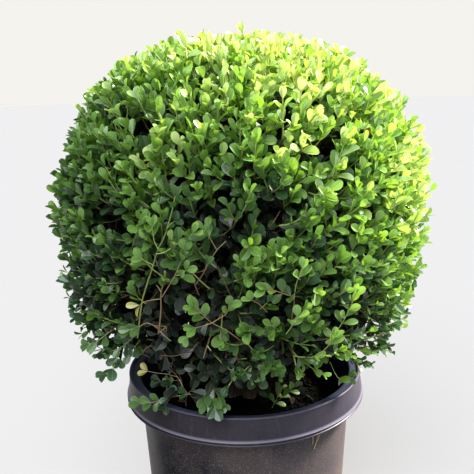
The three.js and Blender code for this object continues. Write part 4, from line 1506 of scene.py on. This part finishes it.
def shown_twig(spots, radius, bare, tone, leaves, random):
    """The path and radii of a twig through spots in space, with pairs of leaves past its bare share."""
    path = smooth_path(spots, SHOWN_STEPS)
    lengths = np.concatenate([[0], np.cumsum(np.linalg.norm(np.diff(path, axis=0), axis=1))])
    headings = unit(np.gradient(path, axis=0))
    distance = lengths[-1] - SHOWN_TIP_GAP
    node = 0
    while distance > lengths[-1] * bare and bare < 1:
        point = at_distance(distance, lengths, path)
        heading = unit(at_distance(distance, lengths, headings))
        to_camera = unit(CAMERA_PLACE - point)
        aside = square_to(np.cross(heading, to_camera), heading)
        if node % 2 == 1:
            aside = turned_about(aside, heading, np.array([SHOWN_PAIR_TURN]))
        spread, size, lost = SHOWN_PAIRS[min(node, len(SHOWN_PAIRS) - 1)]
        length = random.uniform(*LEAF_LENGTH) * size
        shade = np.clip(tone - lost + random.normal() * SHOWN_TONE_SCATTER, DEEP, YELLOW).round()
        facing = SHOWN_FACING_ALONG * heading + to_camera + SHOWN_FACING_UP * UP
        add_pairs(leaves, point, heading, aside, facing, spread, length, shade, random)
        distance -= INTERNODE * random.uniform(*SHOWN_INTERNODE_RANGE)
        node += 1
    return path, np.linspace(SHOWN_TAPER[0] * radius, SHOWN_TAPER[1] * radius, len(path))


def rooted(spots, forks):
    """The spots of a twig, led back into the crown, away from the camera, to the nearest fork there."""
    away, onwards = unit(spots[0] - CAMERA_PLACE), unit(spots[1] - spots[0])
    behind = spots[0] + away * ROOT_DEPTH - onwards * ROOT_RUN
    wanted = unit(behind - spots[0]) * ROOT_REACH
    fork = forks[np.linalg.norm(forks - behind - wanted, axis=1).argmin()]
    return [fork, behind, *spots]


def grow_shown_twigs(crown, random):
    """The twigs' paths and radii by bark, the leaves on them, and the leaves of the sprays over the rim."""
    leaves, rim_leaves, twigs = Leaves(), Leaves(), {}
    forks = np.concatenate([crown["branches"].forks, crown["limbs"].forks])
    depths = depth_in_crown(forks)
    for bark, tone, radius, bare, base_inset, tip_inset, pixels in SHOWN_TWIGS.values():
        insets = np.linspace(base_inset, tip_inset, len(pixels))
        spots = [seen_on_crown(x, y, inset) for (x, y), inset in zip(pixels, insets)]
        if base_inset >= ROOTED_INSET:
            spots = rooted(spots, forks[depths > base_inset + ROOT_FORK_GAP])
        twigs.setdefault(bark, []).append(shown_twig(spots, radius, bare, tone, leaves, random))
    for name, (bark, tone, radius, bare, pixels) in RIM_SPRAYS.items():
        spots = [seen_at_height(*pixel) for pixel in pixels]
        if name in ROOTED_SPRAYS:
            spots = rooted(spots, forks)
        twigs.setdefault(bark, []).append(shown_twig(spots, radius, bare, tone, rim_leaves, random))
    return twigs, leaves, rim_leaves


# Trunk and boughs with their bark.


def bark_relief(points, depth):
    """Furrows that run along a limb, and swellings round it."""
    furrows = ripple(points * np.array(FURROW_STRETCH), FURROW_WIDTH, "furrows")
    swellings = ripple(points, SWELLING_WIDTH, "swellings")
    return depth * (FURROW_SHARE * furrows + SWELLING_SHARE * swellings)


def make_trunk():
    rings, sides = 46, 64
    share = np.linspace(0, 1, rings)[:, None]
    angle = full_circle(sides)[None]
    flare = np.exp(-share / FLARE_SHARE)
    lobes = 1 + FLARE_LOBE_DEPTH * flare * np.cos(FLARE_LOBES * angle)
    radius = (mixed(TRUNK_RADIUS, TRUNK_TIP_RADIUS, share) + FLARE_GROWTH * flare) * lobes
    middles, axes = (np.array(part) for part in zip(*(trunk_at(float(s)) for s in share[:, 0])))
    first = square_to(RIGHT, axes)
    out = towards(first[:, None], np.cross(axes, first)[:, None], angle)
    points = middles[:, None] + out * radius[..., None]
    points = (points + out * bark_relief(points, TRUNK_RELIEF)[..., None]).reshape(-1, 3)
    points[:, 2] = np.maximum(points[:, 2], SOIL_TOP + CLEARANCE)
    return points, ring_faces(rings, sides)


def make_bough_bark(boughs):
    steps, sides = 34, 18
    paths, radii = curve_paths(boughs.ends, boughs.radii, steps)
    points, faces = tubes(paths, radii, sides)
    out = unit(points - np.repeat(paths.reshape(-1, 3), sides, 0))
    return points + out * bark_relief(points, BOUGH_RELIEF)[:, None], faces


# The pot.


def wall_radius(height):
    return mixed(FOOT_RADIUS, WALL_TOP_RADIUS, (height - FOOT_ROUNDING) / (BAND_FOOT - FOOT_ROUNDING))


def arc(centre, radius, first, last, steps):
    """Points of an arc in the profile, as (radius, height), between two angles from level, in degrees."""
    angles = np.radians(np.linspace(first, last, steps))
    return [(centre[0] + radius * math.cos(a), centre[1] + radius * math.sin(a)) for a in angles]


def offset(radius, height, offsets):
    return [(radius + outwards, height + upwards) for outwards, upwards in offsets]


def pot_profile():
    """The pot's section as (radius, height), up its outside and down its inside."""
    bead_top = BAND_FOOT + BEAD_HEIGHT
    lip_level = POT_HEIGHT - LIP_ROUNDING
    lip_outside, lip_inside = LIP_CENTRE_OFFSETS
    inner_rim = RIM_RADIUS - WALL_THICKNESS
    foot_centre = FOOT_RADIUS - FOOT_ROUNDING
    band_levels = np.linspace(bead_top + BAND_EASE, POT_HEIGHT - 2 * LIP_ROUNDING, 6)
    band = zip(np.linspace(BAND_RADIUS, RIM_RADIUS, 6), band_levels)
    bead_centre = (BEAD_RADIUS - BEAD_ROUNDING, LEDGE_LEVEL + BEAD_ROUNDING)
    shelf_centre = offset(wall_radius(SHELF_LEVEL), SHELF_LEVEL, [SHELF_CENTRE_OFFSET])[0]
    return [
        *((radius, 0) for radius in UNDERSIDE_RADII),
        *arc((foot_centre, FOOT_ROUNDING), FOOT_ROUNDING, -90, 0, 7),
        *((wall_radius(level), level) for level in WALL_LEVELS),
        *offset(wall_radius(LEDGE_LEVEL), LEDGE_LEVEL, LEDGE_OFFSETS),
        (BEAD_RADIUS - LEDGE_EDGE, LEDGE_LEVEL),
        *arc(bead_centre, BEAD_ROUNDING, -90, 60, 5),
        *offset(BEAD_RADIUS, LEDGE_LEVEL, BEAD_OFFSETS),
        *offset(BAND_RADIUS, bead_top, BEAD_TOP_OFFSETS),
        *band,
        *arc((RIM_RADIUS + lip_outside, lip_level), LIP_ROUNDING, -10, 90, 6),
        *arc((inner_rim + lip_inside, lip_level), LIP_ROUNDING, 100, 200, 6),
        *((inner_rim - inwards, SHELF_LEVEL - SHELF_FALL * inwards) for inwards in SHELF_STEPS),
        *arc(shelf_centre, SHELF_ROUNDING, 90, 180, 6),
        *((wall_radius(level) - WALL_THICKNESS, level) for level in INNER_LEVELS),
        (foot_centre, POT_FLOOR_THICKNESS),
        (0, POT_FLOOR_THICKNESS),
    ]


def pot_shell():
    """The pot turned from its profile, a little out of round."""
    sides = 160
    profile = np.array(pot_profile())
    azimuth = full_circle(sides)
    lumps = sum((size * np.sin(around * azimuth + phase) for size, around, phase in POT_WAVES), 1)
    turned = round_points(profile[1:-1, :1] * lumps, azimuth, profile[1:-1, 1:])
    points = np.concatenate([turned.reshape(-1, 3), [[0, 0, 0], [0, 0, POT_FLOOR_THICKNESS]]])
    underside, inside = len(points) - 2, len(points) - 1
    faces = ring_faces(len(turned), sides).tolist()
    for i in range(sides):
        after = (i + 1) % sides
        faces.append((after, i, underside))
        faces.append((underside - sides + i, underside - sides + after, inside))
    return plain_object("pot_shell", points * METRES, faces)


def drain_cutters():
    """Short cylinders through the foot of the wall, in one object."""
    sides = 24
    angle = full_circle(sides)[:, None]
    points, faces = [], []
    for i in range(DRAIN_HOLES):
        out = direction_of((i + 0.5) / DRAIN_HOLES * 2 * math.pi + math.pi / 2, 0)
        middle = out * (wall_radius(DRAIN_HOLE_LEVEL) - WALL_THICKNESS / 2) + UP * DRAIN_HOLE_LEVEL
        around = middle + DRAIN_HOLE_RADIUS * (np.cross(UP, out) * np.cos(angle) + UP * np.sin(angle))
        inner = list(range(2 * i * sides, (2 * i + 1) * sides))
        faces += (ring_faces(2, sides) + inner[0]).tolist()
        faces += [inner[::-1], [corner + sides for corner in inner]]
        points += [around - out * 2 * WALL_THICKNESS, around + out * 2 * WALL_THICKNESS]
    return plain_object("drain_cutters", np.concatenate(points) * METRES, faces)


def make_pot():
    """The pot's shell with its drain holes cut."""
    shell, tool = pot_shell(), drain_cutters()
    shell.data.materials.append(pot_material())
    cut = shell.modifiers.new("drain_holes", "BOOLEAN")
    cut.operation, cut.solver, cut.object = "DIFFERENCE", "EXACT", tool
    graph = bpy.context.evaluated_depsgraph_get()
    shell.data = bpy.data.meshes.new_from_object(shell.evaluated_get(graph))
    shell.modifiers.clear()
    bpy.data.objects.remove(tool)
    shell.data.polygons.foreach_set("use_smooth", np.ones(len(shell.data.polygons), bool))
    shell.data.set_sharp_from_angle(angle=SMOOTH_BELOW)
    dressed(shell, ["pot"])


def make_strands():
    paths = [smooth_path([seen_on_wall(x, y) for x, y in spots], STRAND_STEPS) for spots in STRANDS.values()]
    radii = np.full((len(paths), STRAND_STEPS), STRAND_RADIUS)
    return tubes(np.stack(paths), radii, STRAND_SIDES)


# The soil and what lies on it.


def soil_height(points):
    flat = points * np.array([1, 1, 0])
    ripples = (depth * ripple(flat, width, name) for name, (depth, width) in SOIL_RIPPLES.items())
    return sum(ripples, SOIL_TOP)


def on_soil(radius, azimuth, rise):
    """Points at a rise above the soil."""
    points = round_points(radius, azimuth, 0.0)
    points[..., 2] = soil_height(points) + rise
    return points


def strewn(random, count, nearest, farthest, rise):
    """Places strewn over the soil by chance."""
    radius = np.sqrt(random.uniform(nearest, 1, count)) * farthest
    return on_soil(radius, random.uniform(0, 2 * math.pi, count), rise)


def make_soil():
    sides, rings = 120, 40
    inset = WALL_THICKNESS + 1
    radius = np.sqrt(np.linspace(0.0001, 1, rings))[:, None] * (wall_radius(SOIL_TOP) - inset)
    floor = POT_FLOOR_THICKNESS + CLEARANCE
    lower = np.array(
        [
            (wall_radius(2 * FOOT_ROUNDING) - inset, 2 * FOOT_ROUNDING),
            (FOOT_RADIUS - FOOT_ROUNDING - 1, floor),
            (0.01, floor),
        ]
    )
    azimuth = full_circle(sides)
    points = np.concatenate([on_soil(radius, azimuth, 0), round_points(lower[:, :1], azimuth, lower[:, 1:])])
    return points.reshape(-1, 3), ring_faces(len(points), sides)[:, ::-1]


def make_chips():
    """Uneven blocks of bark that lie nearly flat on the soil."""
    count = BARK_CHIPS
    random = seeded("chips")
    farthest = wall_radius(SOIL_TOP) - WALL_THICKNESS - CHIP_WALL_GAP
    place = strewn(random, count, CHIP_NEAREST, farthest, CHIP_RISE)
    size = random.uniform(*CHIP_SIZE, (count, 1, 1)) * np.array(CHIP_SHAPE)
    size = size * random.uniform(*CHIP_SHAPE_RANGE, (count, 1, 3))
    block = np.array([[x, y, z] for x in (-1, 1) for y in (-1, 1) for z in (-1, 1)], float)
    sides = np.array([[0, 1, 3, 2], [4, 6, 7, 5], [0, 4, 5, 1], [2, 3, 7, 6], [0, 2, 6, 4], [1, 5, 7, 3]])
    corners = block[None] * size * random.uniform(*CHIP_CORNER_RANGE, (count, 8, 3))
    facing = unit(random.normal(size=(count, 3)) * CHIP_TILT + UP)
    along = square_to(random.normal(size=(count, 3)), facing)
    axes = np.stack([along, np.cross(facing, along), facing], 1)
    points = place[:, None] + np.einsum("nki,nij->nkj", corners, axes)
    return points.reshape(-1, 3), copied_faces(sides, 8, count)


def fallen_leaves():
    """Leaves that lie on the soil."""
    count = FALLEN_LEAVES
    leaves = Leaves()
    random = seeded("fallen")
    place = strewn(random, count, FALLEN_NEAREST, wall_radius(SOIL_TOP) - FALLEN_WALL_GAP, FALLEN_RISE)
    flat = unit(random.normal(size=(count, 3)) * np.array([1, 1, FALLEN_TILT]))
    tone = random.choice([DEEP, SHADE, SHADE, BLUE, BLUE, DRY], count)
    up = square_to(UP + random.normal(size=(count, 3)) * FALLEN_ROLL, flat)
    leaves.add(place, flat, up, random.uniform(*FALLEN_LENGTH, count), tone)
    return leaves


# Stage.


def make_floor():
    sides = 96
    rings = np.array([0.3, 1.0, 2.5, 6.0, 14.0])
    points = round_points(rings[:, None], full_circle(sides), 0.0).reshape(-1, 3)
    faces = ring_faces(len(rings), sides).tolist() + [list(range(sides))[::-1]]
    floor = plain_object("studio_floor", points, faces)
    floor.data.materials.append(floor_material())


def distant_light(name, origin, spread, strength, colour):
    """A soft light from far away in the direction of origin. spread is its width in degrees."""
    data = bpy.data.lights.new(name, "SUN")
    data.angle, data.energy, data.color = math.radians(spread), strength, colour
    light = linked(bpy.data.objects.new(name, data))
    light.location = Vector(origin) * 3
    light.rotation_mode = "QUATERNION"
    light.rotation_quaternion = (-Vector(origin)).to_track_quat("-Z", "Y")


def make_light():
    """The sun, the open sky above the camera, and an even pale surrounding."""
    world = bpy.data.worlds.new("studio_air")
    world.use_nodes = True
    nodes, links = world.node_tree.nodes, world.node_tree.links
    background, seen = nodes["Background"], nodes.new("ShaderNodeBackground")
    background.inputs["Color"].default_value = AIR_COLOUR
    background.inputs["Strength"].default_value = AIR_STRENGTH
    seen.inputs["Color"].default_value = BACKDROP_COLOUR
    seen.inputs["Strength"].default_value = BACKDROP_STRENGTH
    either = nodes.new("ShaderNodeMixShader")
    links.new(nodes.new("ShaderNodeLightPath").outputs["Is Camera Ray"], either.inputs[0])
    links.new(background.outputs[0], either.inputs[1])
    links.new(seen.outputs[0], either.inputs[2])
    links.new(either.outputs[0], nodes["World Output"].inputs["Surface"])
    bpy.context.scene.world = world
    distant_light("key", SUN_DIRECTION, **SUN_LIGHT)
    distant_light("sky", SKY_DIRECTION, **SKY_LIGHT)
    bpy.context.scene.view_settings.view_transform = "Standard"
    bpy.context.scene.view_settings.look = "Medium High Contrast"


# The growth of the plant.

make_camera()
boughs = make_boughs()
crown = grow_crown(boughs)
stems = crown["stems"]
random = seeded("sprays")
stems.rolls = random.uniform(0, math.pi, len(stems.ends))
stems.tones = spray_tones(stems, random)
shown_twigs, shown_leaves, rim_leaves = grow_shown_twigs(crown, random)
shown_spots = np.concatenate([path for twigs in shown_twigs.values() for path, _ in twigs])
shoot_ends, shoot_tones, shoot_stems = grow_shoots(stems, random, shown_spots)
# A stem that lost all its shoots in a hollow or at the hem is left out.
stems.keep(np.unique(shoot_stems))
leaves = shoot_leaves(shoot_ends, shoot_tones, random)
old_leaves = stem_leaves(stems, random)
inner_leaves = thicket_leaves(crown, random)

# The leaves' pieces.

leaf_tones = [leaf_material(name, *colours) for name, colours in TONES.items()]
leaf_pieces(leaves, "leaves", hidden=shown_spots)
leaf_pieces(shown_leaves, "shown_leaves", over_rim=True)
leaf_pieces(rim_leaves, "rim_leaves", over_rim=True)
leaf_pieces(old_leaves, "old_leaves", thinned=True, hidden=shown_spots)
leaf_pieces(inner_leaves, "inner_leaves")

# The limbs' pieces.

green_bark = twig_material("green_stem", (0.38, 0.46, 0.15), 0.6)
tan_bark = twig_material("tan_twig", (0.36, 0.27, 0.14), 0.75)
orange_bark = twig_material("orange_twig", (0.36, 0.18, 0.09), 0.7)
brown_twig = twig_material("brown_twig", (0.16, 0.10, 0.055), 0.8)
stem_bark = twig_material("stem_bark", (0.25, 0.18, 0.09), 0.8)
brown_bark = bark_material("brown_bark", (0.30, 0.20, 0.10), (0.12, 0.075, 0.04), 60.0, 0.5)
old_bark = bark_material("old_bark", (0.33, 0.25, 0.16), (0.13, 0.09, 0.055), 40.0, 0.8)

shown_barks = {"green": green_bark, "tan": tan_bark, "orange": orange_bark, "brown": brown_twig}
for bark, twigs in shown_twigs.items():
    paths, radii = (np.stack(part) for part in zip(*twigs))
    points, faces = tubes(paths, radii, SHOWN_SIDES)
    piece(f"shown_{bark}_twigs", points, faces, [shown_barks[bark]])
shoot_radii = np.tile(SHOOT_RADII, (len(shoot_ends), 1))
shoot_tubes = tubes(*curve_paths(shoot_ends, shoot_radii, SHOOT_STEPS), SHOOT_SIDES)
piece("shoots", *shoot_tubes, [green_bark], "foliage")
order_barks = {"stems": stem_bark, "twigs": brown_twig, "branches": stem_bark, "limbs": brown_bark}
for name, bark in order_barks.items():
    points, faces = crown[name].tube(*LIMB_ORDERS[name]["tube"], random)
    piece(name, points, faces, [bark])
piece("trunk_bark", *make_trunk(), [old_bark], replaced=["trunk"])
bough_nodes = [f"bough_{i + 1}" for i in range(SIDE_BOUGHS)] + ["bough_leader"]
piece("bough_bark", *make_bough_bark(boughs), [old_bark], replaced=bough_nodes)

# The pot and what is in it and on it.

make_pot()
# The soil and the bark chips are the dark potting mix darkened further, as painted shade over the soil.
potting_mix = soil_material("potting_mix", (0.004, 0.004, 0.003), (0.013, 0.0125, 0.0095))
bark_chip = soil_material("bark_chip", (0.004, 0.0035, 0.003), (0.017, 0.014, 0.011))
dry_strand = twig_material("dry_strand", (0.55, 0.40, 0.20), 0.8)
piece("soil_bed", *make_soil(), [potting_mix], "potting_soil", ["soil"])
piece("dry_strands", *make_strands(), [dry_strand], "pot_plastic", ["pot"])
leaf_pieces(fallen_leaves(), "fallen_leaves", slot="potting_soil", replaced="soil", over_rim=True)
piece("bark_chips", *make_chips(), [bark_chip], "potting_soil", ["soil"])

make_floor()
make_light()
